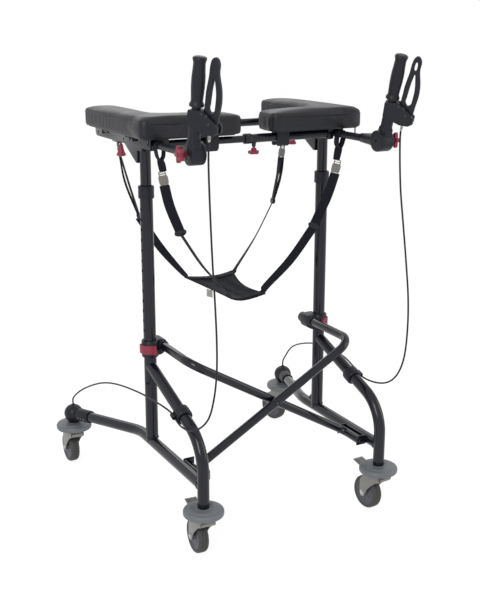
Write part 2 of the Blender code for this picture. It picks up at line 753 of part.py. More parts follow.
def brace_clamp(side):
    """Sliding collar on the post, with the boss that holds the brace's upper leg."""
    x, pivot = side * POST_HALF, side * PIVOT_HALF
    low, high = CLAMP_Z - CLAMP_HEIGHT / 2, CLAMP_Z + CLAMP_HEIGHT / 2
    shape = rod((x, POST_Y, low), (x, POST_Y, high), POST_RADIUS + CLAMP_WALL)
    join(shape, rod((pivot, BOSS_REAR_Y, PIVOT_HIGH_Z), (pivot, BOSS_FRONT_Y, PIVOT_HIGH_Z), BOSS_RADIUS))
    cut(shape, rod((pivot, BOSS_REAR_Y - 0.012, PIVOT_HIGH_Z), (pivot, BOSS_FRONT_Y - 0.01, PIVOT_HIGH_Z),
                   BRACE_RADIUS + BOSS_CLEARANCE, 12))
    cut(shape, rod((x, POST_Y, low - 0.01), (x, POST_Y, high + 0.01), POST_RADIUS + CLAMP_CLEARANCE))
    wide, deep = BUTTON_GROOVE
    groove = (x + side * 0.010, x + side * (POST_RADIUS + deep))
    cut(shape, span_box(groove, (POST_Y - wide / 2, POST_Y + wide / 2), (low - 0.01, high + 0.01)))
    return part(shape, "brace_clamp_" + SIDES[side], BLACK_PLASTIC, (pivot, POST_Y, PIVOT_HIGH_Z))


LATCH_SPAN = (-62.0, 62.0)


def latch_pivot(side):
    """The vertical pin of the latch, just outside the collar on its front inner side."""
    angle = math.radians(LATCH_SPAN[1])
    reach = POST_RADIUS + CLAMP_WALL + 0.0055
    middle = Vector((side * math.cos(math.radians(35)), -math.sin(math.radians(35)), 0))
    turn = Matrix.Rotation(-side * angle, 3, "Z")
    return Vector((side * POST_HALF, POST_Y, CLAMP_Z)) + turn @ middle * reach


def clamp_latch(side):
    """Curved quick release band round the outer front of the collar."""
    inner = POST_RADIUS + CLAMP_WALL + LATCH_GAP
    outer = inner + LATCH_WALL
    middle = -side * 35.0 if side > 0 else 180.0 + 35.0
    steps = 8
    start, end = (middle + edge for edge in LATCH_SPAN)
    angles = [math.radians(start + (end - start) * i / steps) for i in range(steps + 1)]
    outline = [(outer * math.cos(a), outer * math.sin(a)) for a in angles]
    outline += [(inner * math.cos(a), inner * math.sin(a)) for a in reversed(angles)]
    centre = Vector((side * POST_HALF, POST_Y, CLAMP_Z))
    shape = slab(outline, LATCH_HEIGHT / 2, Matrix.Translation(centre))
    pivot = latch_pivot(side)
    up = Vector((0, 0, LATCH_HEIGHT / 2))
    join(shape, rod(pivot - up, pivot + up, 0.0042, 8))
    return part(shape, "clamp_latch_" + SIDES[side], KNOB_RED, pivot)


# Top frame

def channel_pieces(side):
    """An open bottom channel along Y that guides the arm tube."""
    x = side * POST_HALF
    yield box((x - CHANNEL_HALF, CHANNEL_FRONT_Y, CHANNEL_TOP_Z - CHANNEL_WALL),
              (x + CHANNEL_HALF, CHANNEL_REAR_Y, CHANNEL_TOP_Z))
    for edge in (-1, 1):
        outer = x + edge * CHANNEL_HALF
        run = (CHANNEL_FRONT_Y, CHANNEL_REAR_Y - CHANNEL_NOSE)
        heights = (CHANNEL_BOTTOM_Z, CHANNEL_TOP_Z - 0.001)
        yield span_box((outer, outer - edge * CHANNEL_WALL), run, heights)
    yield slab(channel_nose(), CHANNEL_HALF, plane_of((x, 0, 0), (0, 1, 0), (0, 0, 1)))
    low = (CHANNEL_BOTTOM_Z - 0.003, CHANNEL_BOTTOM_Z + 0.0012)
    yield box((x - CHANNEL_HALF, CLAMP_KNOB_Y - CLAMP_STRAP_LENGTH / 2, low[0]),
              (x + CHANNEL_HALF, CLAMP_KNOB_Y + CLAMP_STRAP_LENGTH / 2, low[1]))
    deep, tall = TOP_BLOCK
    yield box((x - CHANNEL_HALF, POST_Y - deep, CHANNEL_BOTTOM_Z - tall),
              (x + CHANNEL_HALF, POST_Y + deep, low[1]))


def channel_nose():
    """Side view of the channel's closed rear end, round below."""
    front = CHANNEL_REAR_Y - CHANNEL_NOSE - 0.004
    top = CHANNEL_TOP_Z - 0.0005
    corner = (CHANNEL_REAR_Y, CHANNEL_BOTTOM_Z, 0)
    arc = arc_corner((front, CHANNEL_BOTTOM_Z, 0), corner, (CHANNEL_REAR_Y, top, 0), CHANNEL_NOSE, 4)
    return [(front, CHANNEL_BOTTOM_Z), *[(p.x, p.y) for p in arc], (CHANNEL_REAR_Y, top), (front, top)]


def bar_sockets(side):
    """Blocks on the inner side of the channel that hold the crossbars."""
    wide, tall = SOCKET_SIZE
    face = side * (POST_HALF - CHANNEL_HALF)
    for y in (FRONT_BAR_Y, REAR_BAR_Y):
        ends = (face + side * 0.001, face - side * SOCKET_LENGTH)
        yield span_box(ends, (y - wide / 2, y + wide / 2), (BAR_Z - tall / 2, BAR_Z + tall / 2))


def bar_radius(side):
    return BAR_RADIUS if side < 0 else BAR_SLEEVE_RADIUS


HINGE_ENDS = (POST_Y + 0.020, POST_Y + 0.230)


def hinge_rod(side):
    """The pad's hinge pin and the lugs that carry it along the channel's outer edge."""
    x = side * (POST_HALF + HINGE_OUT)
    start, end = HINGE_ENDS
    yield rod((x, start, HINGE_Z), (x, end, HINGE_Z), HINGE_PIN_RADIUS, 8)
    for y in (start, end):
        lug = (side * (POST_HALF + CHANNEL_HALF - 0.001), x + side * 0.0040)
        yield span_box(lug, (y - PLATE / 2, y + PLATE / 2), (HINGE_Z - 0.010, HINGE_Z + 0.0040))


def top_gusset(side):
    y = POST_Y + INNER_RADIUS - 0.003
    z = CHANNEL_BOTTOM_Z + 0.001
    reach, drop = TOP_GUSSET
    outline = [(y, z - drop), (y + 0.008, z - drop), (y + reach, z), (y, z)]
    for edge in (-1, 1):
        centre = side * POST_HALF + edge * (CHANNEL_HALF - CHANNEL_WALL / 2)
        yield slab(outline, CHANNEL_WALL / 2, plane_of((centre, 0, 0), (0, 1, 0), (0, 0, 1)))
    x = side * POST_HALF
    yield box((x - CHANNEL_HALF, y, z - drop), (x + CHANNEL_HALF, y + PLATE, z + 0.0001))


def top_frame(side):
    x = side * POST_HALF
    frame = rod((x, POST_Y, INNER_BOTTOM_Z), (x, POST_Y, INNER_TOP_Z), INNER_RADIUS)
    join(frame, *channel_pieces(side), *bar_sockets(side), *hinge_rod(side), *top_gusset(side))
    bore_top = CHANNEL_BOTTOM_Z - 0.040
    cut(frame, rod((x, POST_Y, INNER_BOTTOM_Z - 0.01), (x, POST_Y, bore_top), INNER_RADIUS - INNER_WALL))
    button_z = HOLE_TOP_Z - HOLE_PITCH * BUTTON_HOLE
    wall_in = side * (POST_HALF + INNER_RADIUS - 0.006)
    wall_out = side * (POST_HALF + INNER_RADIUS + 0.004)
    button_bore = BUTTON_RADIUS + RUNNING_GAP
    cut(frame, rod((wall_in, POST_Y, button_z), (wall_out, POST_Y, button_z), button_bore, 10))
    knob_line = [(x, CLAMP_KNOB_Y, CHANNEL_BOTTOM_Z + step) for step in (-0.01, 0.005)]
    cut(frame, rod(*knob_line, SCREW_RADIUS + RUNNING_GAP, 10))
    deep = side * (POST_HALF - CHANNEL_HALF - 0.001)
    open_end = side * (POST_HALF - CHANNEL_HALF - SOCKET_LENGTH - 0.01)
    for y in (FRONT_BAR_Y, REAR_BAR_Y):
        cut(frame, rod((deep, y, BAR_Z), (open_end, y, BAR_Z), bar_radius(side) + SEAT_GAP, 12))
    return part(frame, "top_frame_" + SIDES[side], TUBE_PAINT, (x, POST_Y, CHANNEL_BOTTOM_Z))


def snap_button(side):
    """Spring button of the height lock, at rest drawn back inside the wall of the inner post."""
    x = side * POST_HALF
    z = HOLE_TOP_Z - HOLE_PITCH * BUTTON_HOLE
    tip = INNER_RADIUS - 0.0001
    shape = rod((x + side * 0.0060, POST_Y, z), (x + side * tip, POST_Y, z), BUTTON_RADIUS, 10)
    join(shape, rod((x + side * 0.0052, POST_Y, z), (x + side * 0.0067, POST_Y, z), 0.0044, 10))
    leaf = [(0.0062, 0.003), (0.0050, 0.003), (-0.0106, -0.030), (-0.0096, -0.0305)]
    plane = plane_of((x, POST_Y, z), (side, 0, 0), (0, 0, 1))
    join(shape, slab(leaf, 0.003, plane))
    return part(shape, "snap_button_" + SIDES[side], FORK_STEEL, (x, POST_Y, z))


def crossbars():
    """Telescopic crossbars: the tube rides with the left side, the sleeve with the right."""
    reach = POST_HALF - CHANNEL_HALF - 0.001 - SEAT_GAP
    for name, y in (("front", FRONT_BAR_Y), ("rear", REAR_BAR_Y)):
        tube = rod((-reach, y, BAR_Z), (BAR_END_X, y, BAR_Z), BAR_RADIUS, 12)
        part(tube, "crossbar_tube_" + name, TUBE_PAINT)
        bore = BAR_RADIUS + BAR_CLEARANCE
        sleeve = rod((SLEEVE_MOUTH_X + 0.002, y, BAR_Z), (reach, y, BAR_Z), BAR_SLEEVE_RADIUS, 12)
        mouth = Vector((SLEEVE_MOUTH_X, y, BAR_Z))
        join(sleeve, rod(mouth, mouth + Vector((BAR_COLLAR_LENGTH, 0, 0)), BAR_COLLAR_RADIUS, 12))
        if name == "front":
            x = WIDTH_KNOB_X
            join(sleeve, cone((x, y, BAR_Z - 0.008), (x, y, BAR_Z - 0.0215), 0.0075, 0.005, 10))
        cut(sleeve, rod((SLEEVE_MOUTH_X - 0.01, y, BAR_Z), (reach - 0.004, y, BAR_Z), bore, 12))
        if name == "front":
            cut(sleeve, rod((x, y, BAR_Z), (x, y, BAR_Z - 0.03), SCREW_RADIUS + RUNNING_GAP, 10))
        part(sleeve, "crossbar_sleeve_" + name, TUBE_PAINT)


def star_knob(name, place, screw, radius, thick, neck):
    """A lobed knob with a tapered neck on a screw, whose tip points along the place's +Z."""
    outline = []
    for i in range(KNOB_LOBES * 4):
        angle = 2 * math.pi * i / (KNOB_LOBES * 4)
        swell = (1.0, 0.86, 0.62, 0.86)[i % 4]
        outline.append((radius * swell * math.cos(angle), radius * swell * math.sin(angle)))
    shape = slab(outline, thick / 2, Matrix.Translation((0, 0, thick / 2)))
    join(shape, cone((0, 0, thick - 0.001), (0, 0, thick + neck), radius * 0.55, radius * 0.36, 10))
    join(shape, rod((0, 0, thick), (0, 0, screw), SCREW_RADIUS, 8))
    part(shape, name, KNOB_RED)
    return moved(shape, place)


def knobs():
    low = BAR_Z - BAR_RADIUS - 0.001 - WIDTH_KNOB["screw"]
    star_knob("width_knob", Matrix.Translation((WIDTH_KNOB_X, FRONT_BAR_Y, low)), **WIDTH_KNOB)
    for side, word in SIDES.items():
        low = ARM_Z - ARM_RADIUS - 0.001 - REACH_KNOB["screw"]
        place = Matrix.Translation((side * POST_HALF, CLAMP_KNOB_Y, low))
        star_knob("reach_knob_" + word, place, **REACH_KNOB)
        outside = Matrix.Translation((side * (HUB_OUTER_X + TILT_KNOB_OUT), HUB_Y, HUB_Z))
        star_knob("tilt_knob_" + word, outside @ along((-side, 0, 0)), **TILT_KNOB)


# Forearm pads

def pad_outline(inset, steps=3):
    """The L shape of the right pad, counter clockwise in plan, with rounded corners."""
    out, inn = PAD_OUTER - inset, PAD_INNER + inset
    front, rear = PAD_FRONT_Y + inset, PAD_REAR_Y - inset
    arm = PAD_OUTER - PAD_ARM_WIDTH + inset
    limb = PAD_FRONT_Y + PAD_LIMB_DEPTH - inset
    corner = PAD_CORNER - inset / 2
    corners = [
        ((inn, front), corner), ((out, front), corner), ((out, rear), corner), ((arm, rear), corner),
        ((arm, limb), PAD_INNER_CORNER), ((inn, limb), corner),
    ]
    points = []
    count = len(corners)
    for i, (place, radius) in enumerate(corners):
        before, after = corners[i - 1][0], corners[(i + 1) % count][0]
        turn = steps + 2 if radius == PAD_INNER_CORNER else steps
        arc = arc_corner((*before, 0), (*place, 0), (*after, 0), radius, turn)
        points += [(p.x, p.y) for p in arc]
    return points


# The wall by share of the height and of the pinch, then the crown by share of its rise and its inset
PAD_WALL = [(0.0, 2.0), (0.09, 1.0), (0.35, 0.7), (0.72, 0.8), (0.84, 0.0), (0.95, 0.4)]
PAD_ROUND = [(0.0, 0.005), (0.65, 0.016), (1.0, 0.032)]


def arm_pad(side):
    """Cushion with drawn-in sides, a seam near its upper edge and a crowned top."""
    tall = PAD_TOP_Z - PAD_BOTTOM_Z
    levels = [(PAD_BOTTOM_Z + share * tall, PAD_PINCH * pinch) for share, pinch in PAD_WALL]
    levels += [(PAD_TOP_Z + PAD_CROWN * rise, inset) for rise, inset in PAD_ROUND]
    shape = bmesh.new()
    rings = []
    for z, inset in levels:
        outline = pad_outline(inset)
        rings.append([shape.verts.new((side * x, y, z)) for x, y in outline])
    for lower, upper in zip(rings, rings[1:]):
        for i in range(len(lower)):
            j = (i + 1) % len(lower)
            shape.faces.new((lower[i], lower[j], upper[j], upper[i]))
    shape.faces.new(list(reversed(rings[0])))
    shape.faces.new(rings[-1])
    bmesh.ops.triangulate(shape, faces=[f for f in shape.faces if len(f.verts) > 4])
    bmesh.ops.recalc_face_normals(shape, faces=shape.faces)
    pad = object_of(shape, "pad")
    return part(pad, "arm_pad_" + SIDES[side], PAD_VINYL, (side * (POST_HALF + HINGE_OUT), POST_Y, HINGE_Z))


def saddle_outline(top):
    """Side view of the saddle: a hook that reaches down on both sides of the crossbar, round below."""
    half = SADDLE_SIZE[1] / 2
    centre = SADDLE_BOTTOM_Z + half
    arc = [math.pi + math.pi * i / 8 for i in range(9)]
    return [(FRONT_BAR_Y + half * math.cos(a), centre + half * math.sin(a)) for a in arc] + [
        (FRONT_BAR_Y + half, top), (FRONT_BAR_Y - half, top)
    ]


def pad_base(side):
    """Board under the cushion, with the hinge knuckles and the saddle that sits over the crossbar."""
    top = PAD_BOTTOM_Z - SEAT_GAP
    low = top - BOARD_THICKNESS
    outline = [(side * x, y) for x, y in pad_outline(BOARD_INSET, 2)]
    middle = Matrix.Translation((0, 0, (top + low) / 2))
    shape = slab(outline, BOARD_THICKNESS / 2, middle)
    axis = side * (POST_HALF + HINGE_OUT)
    start, end = HINGE_ENDS
    for y in (start + 0.012, end - 0.012 - KNUCKLE_LENGTH):
        join(shape, rod((axis, y, HINGE_Z), (axis, y + KNUCKLE_LENGTH, HINGE_Z), KNUCKLE_RADIUS, 10))
        web = (axis - 0.004, y, HINGE_Z + 0.0036)
        join(shape, box(web, (axis + 0.004, y + KNUCKLE_LENGTH, low + 0.001)))
        cut(shape, rod((axis, y - 0.002, HINGE_Z), (axis, y + KNUCKLE_LENGTH + 0.002, HINGE_Z),
                       HINGE_PIN_RADIUS + SEAT_GAP, 8))
    wide, deep = SADDLE_SIZE
    x = SADDLE_X[side]
    join(shape, slab(saddle_outline(low + 0.001), wide / 2, plane_of((x, 0, 0), (0, 1, 0), (0, 0, 1))))
    slot = bar_radius(side) + SADDLE_CLEARANCE
    cut(shape, rod((x - wide, FRONT_BAR_Y, BAR_Z), (x + wide, FRONT_BAR_Y, BAR_Z), slot, 12))
    under = SADDLE_BOTTOM_Z - 0.01
    cut(shape, box((x - wide, FRONT_BAR_Y - slot, under), (x + wide, FRONT_BAR_Y + slot, BAR_Z)))
    return part(shape, "pad_base_" + SIDES[side], BLACK_PLASTIC, (axis, POST_Y, HINGE_Z))


# Handles

def arm_tube(side):
    """Round tube in the channel, ending in a tapered socket and the fixed half of the tilt joint."""
    x = side * POST_HALF
    tube = rod((x, ARM_REAR_Y, ARM_Z), (x, ARM_SOCKET_Y - 0.01, ARM_Z), ARM_RADIUS, 12)
    start, end = (x, ARM_SOCKET_Y, ARM_Z), (x - side * 0.003, HUB_Y + 0.012, HUB_Z)
    join(tube, cone(start, end, ARM_RADIUS + 0.0023, ARM_SOCKET_RADIUS, 12))

    def across_hub(inner, outer, radius, sides):
        return rod((side * inner, HUB_Y, HUB_Z), (side * outer, HUB_Y, HUB_Z), radius, sides)

    cut(tube, across_hub(HUB_SPLIT_X, HUB_OUTER_X + 0.01, HUB_RADIUS_OUT + 0.0006, 20))
    join(tube, across_hub(HUB_INNER_X, HUB_SPLIT_X - SEAT_GAP, HUB_RADIUS_OUT, 16))
    join(tube, across_hub(HUB_SPLIT_X - 0.004, TILT_PIN_END, TILT_PIN_RADIUS, 10))
    return part(tube, "arm_tube_" + SIDES[side], BLACK_PLASTIC)


def handle_frame(side):
    """Local frame of a handle: origin on the tilt axis, +Z up the stem, +X towards the lever."""
    tilt = Matrix.Rotation(math.radians(HANDLE_TILT[side]), 4, "X")
    turn = Matrix.Rotation(math.radians(LEVER_TURN[side] - 90.0), 4, "Z")
    return Matrix.Translation((side * POST_HALF, HUB_Y, HUB_Z)) @ tilt @ turn


STEM_ROOT = [(0.0205, 0.014), (0.0168, 0.026), (0.0148, 0.040)]
STEM_NOTCH = [
    (-0.030, 0.0660), (-0.0138, 0.0660), (-0.0020, 0.0616), (0.0150, 0.0571), (0.0320, 0.0525),
    (0.040, 0.0525), (0.040, 0.100), (-0.030, 0.100),
]


def handle_hub(side):
    """Turning half of the tilt joint with the stem, the neck that carries the brake and the grip."""
    tilt = Matrix.Rotation(math.radians(HANDLE_TILT[side]), 4, "X")
    centre = Matrix.Translation((side * POST_HALF, HUB_Y, HUB_Z))
    inner, outer = HUB_SPLIT_X - POST_HALF + SEAT_GAP, HUB_OUTER_X - POST_HALF
    shape = rod((side * inner, 0, 0), (side * outer, 0, 0), HUB_RADIUS_OUT, 16)
    shift = side * (inner + outer) / 2
    join(shape, rod((shift, 0, 0.004), (shift, 0, STEM_TUBE_TOP), STEM_TUBE_RADIUS - 0.0002))
    root = [(-wide, up) for wide, up in STEM_ROOT] + [(wide, up) for wide, up in reversed(STEM_ROOT)]
    join(shape, slab(root, 0.012, plane_of((shift, 0, 0), (0, 1, 0), (0, 0, 1))))
    turn = Matrix.Rotation(math.radians(LEVER_TURN[side] - 90.0), 4, "Z")
    cut(shape, slab(STEM_NOTCH, 0.03, turn @ plane_of((0, 0, 0), (1, 0, 0), (0, 0, 1))))
    join(shape, rod((0, 0, 0.040), (0, 0, GRIP_BOTTOM + GRIP_LENGTH - 0.008), NECK_RADIUS, 12))
    pin_end = side * (TILT_PIN_END - POST_HALF + BORE_FIT)
    cut(shape, rod((side * (inner - 0.01), 0, 0), (pin_end, 0, 0), TILT_PIN_RADIUS + BORE_FIT, 10))
    screw_bore = SCREW_RADIUS + BORE_FIT
    cut(shape, rod((side * (outer - 0.010), 0, 0), (side * (outer + 0.01), 0, 0), screw_bore, 10))
    part(shape, "handle_hub_" + SIDES[side], BLACK_PLASTIC)
    return moved(shape, centre @ tilt)


def grip(side):
    """Rubber grip with a flange at each end and a slight swell for the palm."""
    bottom, top = GRIP_BOTTOM, GRIP_BOTTOM + GRIP_LENGTH
    bore = NECK_RADIUS + SEAT_GAP
    roof = top - 0.008 + SEAT_GAP
    middle = (bottom + top) / 2
    profile = [
        (0.0, top + 0.0012), (GRIP_FLANGE - 0.003, top), (GRIP_FLANGE - 0.001, top - 0.004),
        (GRIP_RADIUS, top - 0.011), (GRIP_RADIUS + GRIP_BULGE, middle), (GRIP_RADIUS, bottom + 0.011),
        (GRIP_FLANGE, bottom + 0.005), (GRIP_FLANGE - 0.001, bottom), (bore, bottom), (bore, roof),
        (0.0, roof),
    ]
    shape = turned(profile, 16)
    part(shape, "grip_" + SIDES[side], GRIP_RUBBER)
    return moved(shape, handle_frame(side))


HOUSING_OUTLINE = [
    (-0.0135, 0.0665), (-0.0150, 0.1030), (0.0200, 0.1060), (0.0480, 0.0885), (0.0630, 0.0760),
    (0.0630, 0.0620), (0.0530, 0.0545), (0.0320, HOUSING_FLOOR), (0.0150, 0.0575), (-0.0020, 0.0620),
]
SLOT_OUTLINE = [(0.0190, 0.1250), (0.0190, 0.0680), (0.0330, 0.0615), (0.0760, 0.0615), (0.0760, 0.1250)]


def lever_housing(side):
    """Brake body clamped on the neck: two cheeks round the lever and the cable adjuster below."""
    upright = plane_of((0, 0, 0), (1, 0, 0), (0, 0, 1))
    shape = slab(HOUSING_OUTLINE, HOUSING_HALF, upright)
    cut(shape, slab(SLOT_OUTLINE, LEVER_HALF + BORE_FIT, upright))
    cut(shape, rod((0, 0, 0.03), (0, 0, 0.13), NECK_RADIUS + BORE_FIT, 12))
    u, w = LEVER_PIVOT
    cut(shape, rod((u, -0.03, w), (u, 0.03, w), LEVER_PIN_RADIUS + BORE_FIT, 8))
    foot = HOUSING_FLOOR - ADJUSTER_LENGTH
    ferrule = [(ADJUSTER_PLACE, 0, height) for height in (HOUSING_FLOOR + 0.003, foot)]
    join(shape, rod(*ferrule, ADJUSTER_RADIUS, 8))
    part(shape, "lever_housing_" + SIDES[side], BLACK_PLASTIC)
    return moved(shape, handle_frame(side))


LEVER_OUTER = [
    (0.0345, 0.0700), (0.0330, 0.0870), (0.0250, 0.1010), (0.0222, 0.1105), (0.0228, 0.1290),
    (0.0232, 0.1470), (0.0258, 0.1690), (0.0278, 0.1840), (0.0292, 0.2090), (0.0325, 0.2210),
    (0.0390, 0.2265), (0.0465, 0.2235), (0.0515, 0.2130), (0.0515, 0.1930), (0.0600, 0.1570),
    (0.0620, 0.1290), (0.0595, 0.1035), (0.0580, 0.0830), (0.0545, 0.0710), (0.0440, 0.0655),
]
LEVER_GAP = [
    (0.0415, 0.1820), (0.0372, 0.1600), (0.0358, 0.1450), (0.0343, 0.1220), (0.0335, 0.1110),
    (0.0401, 0.1020), (0.0470, 0.1070), (0.0487, 0.1200), (0.0488, 0.1460), (0.0448, 0.1700),
]


def brake_lever(side):
    """Loop lever: a finger bar and an outer bar that meet at the top, on one pin."""
    u, w = LEVER_PIVOT
    upright = plane_of((-u, 0, -w), (1, 0, 0), (0, 0, 1))
    shape = slab([LEVER_OUTER, LEVER_GAP], LEVER_HALF, upright)
    reach = HOUSING_HALF - 0.0010
    join(shape, rod((0, -reach, 0), (0, reach, 0), LEVER_PIN_RADIUS, 8))
    part(shape, "brake_lever_" + SIDES[side], BLACK_PLASTIC)
    return moved(shape, handle_frame(side) @ Matrix.Translation((u, 0, w)))


# Cables, clips and sling

# The drop from the handle to the clip: out from the post, along from the post and height
CABLE_DROP = {
    -1: [
        (-0.0218, -0.3160, 0.9980), (-0.0215, -0.3210, 0.9100), (-0.0205, -0.3350, 0.7680),
        (-0.0190, -0.3500, 0.6680), (-0.0170, -0.3615, 0.5700), (-0.0145, -0.3640, 0.5030),
        (-0.0105, -0.3570, 0.4400), (-0.0050, -0.3390, 0.3850), (0.0050, -0.3160, 0.3550),
        (0.0175, -0.2880, 0.3385), (0.0240, -0.2470, 0.3345),
    ],
    1: [
        (0.0275, -0.3160, 0.9980), (0.0272, -0.3260, 0.8980), (0.0270, -0.3435, 0.8100),
        (0.0269, -0.3630, 0.7120), (0.0267, -0.3780, 0.6240), (0.0266, -0.3815, 0.5430),
        (0.0264, -0.3735, 0.4640), (0.0262, -0.3540, 0.4160), (0.0258, -0.3250, 0.3830),
        (0.0255, -0.2860, 0.3620), (0.0253, -0.2330, 0.3505),
    ],
}
# The run from the clip to the rear: share of the way out to the rear socket, along and height
CABLE_RUN = {
    -1: [
        (0.412, -0.0800, 0.3590), (0.535, 0.0130, 0.3540), (0.651, 0.1020, 0.3415),
        (0.751, 0.1780, 0.3210), (0.888, 0.2820, 0.2740), (0.970, 0.3420, 0.2360),
    ],
    1: [
        (0.409, -0.0800, 0.3710), (0.561, 0.0300, 0.3660), (0.706, 0.1430, 0.3446),
        (0.904, 0.2920, 0.2870), (0.975, 0.3460, 0.2390),
    ],
}


def cable_points(side):
    """The outer cable's route, past the handle's adjuster, through the clip and to the rear socket."""
    foot = HOUSING_FLOOR - ADJUSTER_LENGTH - SEAT_GAP
    frame = handle_frame(side)
    knots = [frame @ Vector((ADJUSTER_PLACE, 0, foot)), frame @ Vector((ADJUSTER_PLACE, 0, foot - 0.005))]
    knots += [Vector((side * (POST_HALF + out), POST_Y + y, z)) for out, y, z in CABLE_DROP[side]]
    centre, direction = clip_centre(side)
    centre.x += side * CLIP_EYE_OUT
    knots += [centre + direction * 0.014, centre, centre - direction * 0.014]
    splay = REAR_HALF - POST_HALF
    knots += [Vector((side * (POST_HALF + share * splay), POST_Y + y, z)) for share, y, z in CABLE_RUN[side]]
    end = ball_centre(side) + Vector((0, 0, BALL_RADIUS + SEAT_GAP))
    return smooth_curve([*knots, end + Vector((0, 0, 0.016)), end], 2)


def brake_cable(side):
    """Outer cable from the adjuster under the lever, through the clip on the leg, to the rear socket."""
    tube = bent_tube(cable_points(side), CABLE_RADIUS, 1)
    return part(tube, "brake_cable_" + SIDES[side], CABLE_BLACK)


def clip_centre(side):
    """Point on the straight part of the front leg where the cable clip sits, and the leg's direction."""
    start = Vector((side * POST_HALF, POST_Y, LEG_TOP_Z))
    corner = Vector((side * POST_HALF, FRONT_Y, LEG_CORNER_Z))
    direction = (corner - start).normalized()
    share = (CLIP_PLACE_Y[side] - start.y) / (corner.y - start.y)
    return start.lerp(corner, share), direction


def cable_clip(side):
    """Band round the leg with an eye for the cable on its outer side."""
    centre, direction = clip_centre(side)
    half = direction * (CLIP_LENGTH / 2)
    shape = rod(centre - half, centre + half, LEG_RADIUS + CLIP_WALL, 14)
    eye = Vector((side * CLIP_EYE_OUT, 0, 0))
    lug_half = direction * (CLIP_LENGTH / 2 - 0.003)
    join(shape, rod(centre + eye - lug_half, centre + eye + lug_half, CLIP_EYE_RADIUS, 8))
    cut(shape, rod(centre - half * 2, centre + half * 2, around(LEG_RADIUS, SEAT_GAP), 12))
    cut(shape, rod(centre + eye - half * 2, centre + eye + half * 2, CABLE_RADIUS + 0.0016, 8))
    return part(shape, "cable_clip_" + SIDES[side], BLACK_PLASTIC)


def ribbon(points, width, thick, across):
    """A flat strap along the points, its width along the across vector at each point."""
    shape = bmesh.new()
    rows = []
    for i, point in enumerate(points):
        before = points[max(i - 1, 0)]
        after = points[min(i + 1, len(points) - 1)]
        run = (Vector(after) - Vector(before)).normalized()
        wide = Vector(across) - run * Vector(across).dot(run)
        wide.normalize()
        flat = run.cross(wide)
        a = wide * (width / 2)
        b = flat * (thick / 2)
        place = Vector(point)
        rows.append([shape.verts.new(place + a + b), shape.verts.new(place - a + b),
                     shape.verts.new(place - a - b), shape.verts.new(place + a - b)])
    for low, high in zip(rows, rows[1:]):
        for i in range(4):
            j = (i + 1) % 4
            shape.faces.new((low[i], low[j], high[j], high[i]))
    shape.faces.new(rows[0][::-1])
    shape.faces.new(rows[-1])
    bmesh.ops.recalc_face_normals(shape, faces=shape.faces)
    return object_of(shape, "ribbon")


def sling_point(u, v):
    """Point of the seat: u from left to right and v from front to rear, both 0 to 1."""
    front = Vector(SLING_FRONT)
    rear = Vector(SLING_REAR)
    half = front.x + (rear.x - front.x) * v - SLING_WAIST * math.sin(math.pi * v)
    y = front.y + (rear.y - front.y) * v
    bow = SLING_BOW * math.sin(math.pi * u) * (1 - 2 * v)
    sag = SLING_SAG * math.sin(math.pi * u) + SLING_DIP * math.sin(math.pi * v)
    return Vector(((2 * u - 1) * half, y + bow, front.z + (rear.z - front.z) * v - sag))


def sling_seat():
    columns, rows = 4, 6
    shape = bmesh.new()
    half = Vector((0, 0, SLING_THICKNESS / 2))
    grid = {}
    for i in range(columns + 1):
        for j in range(rows + 1):
            place = sling_point(i / columns, j / rows)
            grid[i, j, 1] = shape.verts.new(place + half)
            grid[i, j, 0] = shape.verts.new(place - half)
    for i in range(columns):
        for j in range(rows):
            for k in (0, 1):
                shape.faces.new([grid[i, j, k], grid[i + 1, j, k], grid[i + 1, j + 1, k], grid[i, j + 1, k]])
    edge = [(i, 0) for i in range(columns)] + [(columns, j) for j in range(rows)]
    edge += [(i, rows) for i in range(columns, 0, -1)] + [(0, j) for j in range(rows, 0, -1)]
    for (a, b), (c, d) in zip(edge, edge[1:] + edge[:1]):
        shape.faces.new([grid[a, b, 0], grid[c, d, 0], grid[c, d, 1], grid[a, b, 1]])
    bmesh.ops.recalc_face_normals(shape, faces=shape.faces)
    return object_of(shape, "seat")


def harness():
    """Sling seat that hangs by four straps from the channels and the arm tubes."""
    seat = sling_seat()
    for side in SIDES:
        for end, v in STRAP_PLACE.items():
            seat_knots = [sling_point(0.5 + side * u, v) for u in (STRAP_SEAM, STRAP_EDGE)]
            high_knots = [(side * x, y, z) for x, y, z in STRAP_PATH[end]]
            points = smooth_curve([*seat_knots, *high_knots], 2)
            join(seat, ribbon(points, STRAP_WIDTH, STRAP_THICKNESS, (0, 1, 0)))
    return part(seat, "harness", WEBBING_BLACK)


# The whole gait trainer

def build():
    for side in SIDES:
        side_frame(side)
        post_collar(side)
        rear_socket(side)
        for end in ("front", "rear"):
            bumper_ring(side, end)
            fork(side, end)
            wheel(side, end)
        lock_pedal(side)
        brake_shoe(side)
        brace_clamp(side)
        clamp_latch(side)
        top_frame(side)
        snap_button(side)
        arm_pad(side)
        pad_base(side)
        arm_tube(side)
        handle_hub(side)
        grip(side)
        lever_housing(side)
        brake_lever(side)
        brake_cable(side)
        cable_clip(side)
    cross_brace("rear")
    cross_brace("front")
    crossbars()
    knobs()
    harness()


build()
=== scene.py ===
import json
import math

import bmesh
import bpy
import numpy as np
from mathutils import Matrix, Vector
from mathutils.bvhtree import BVHTree

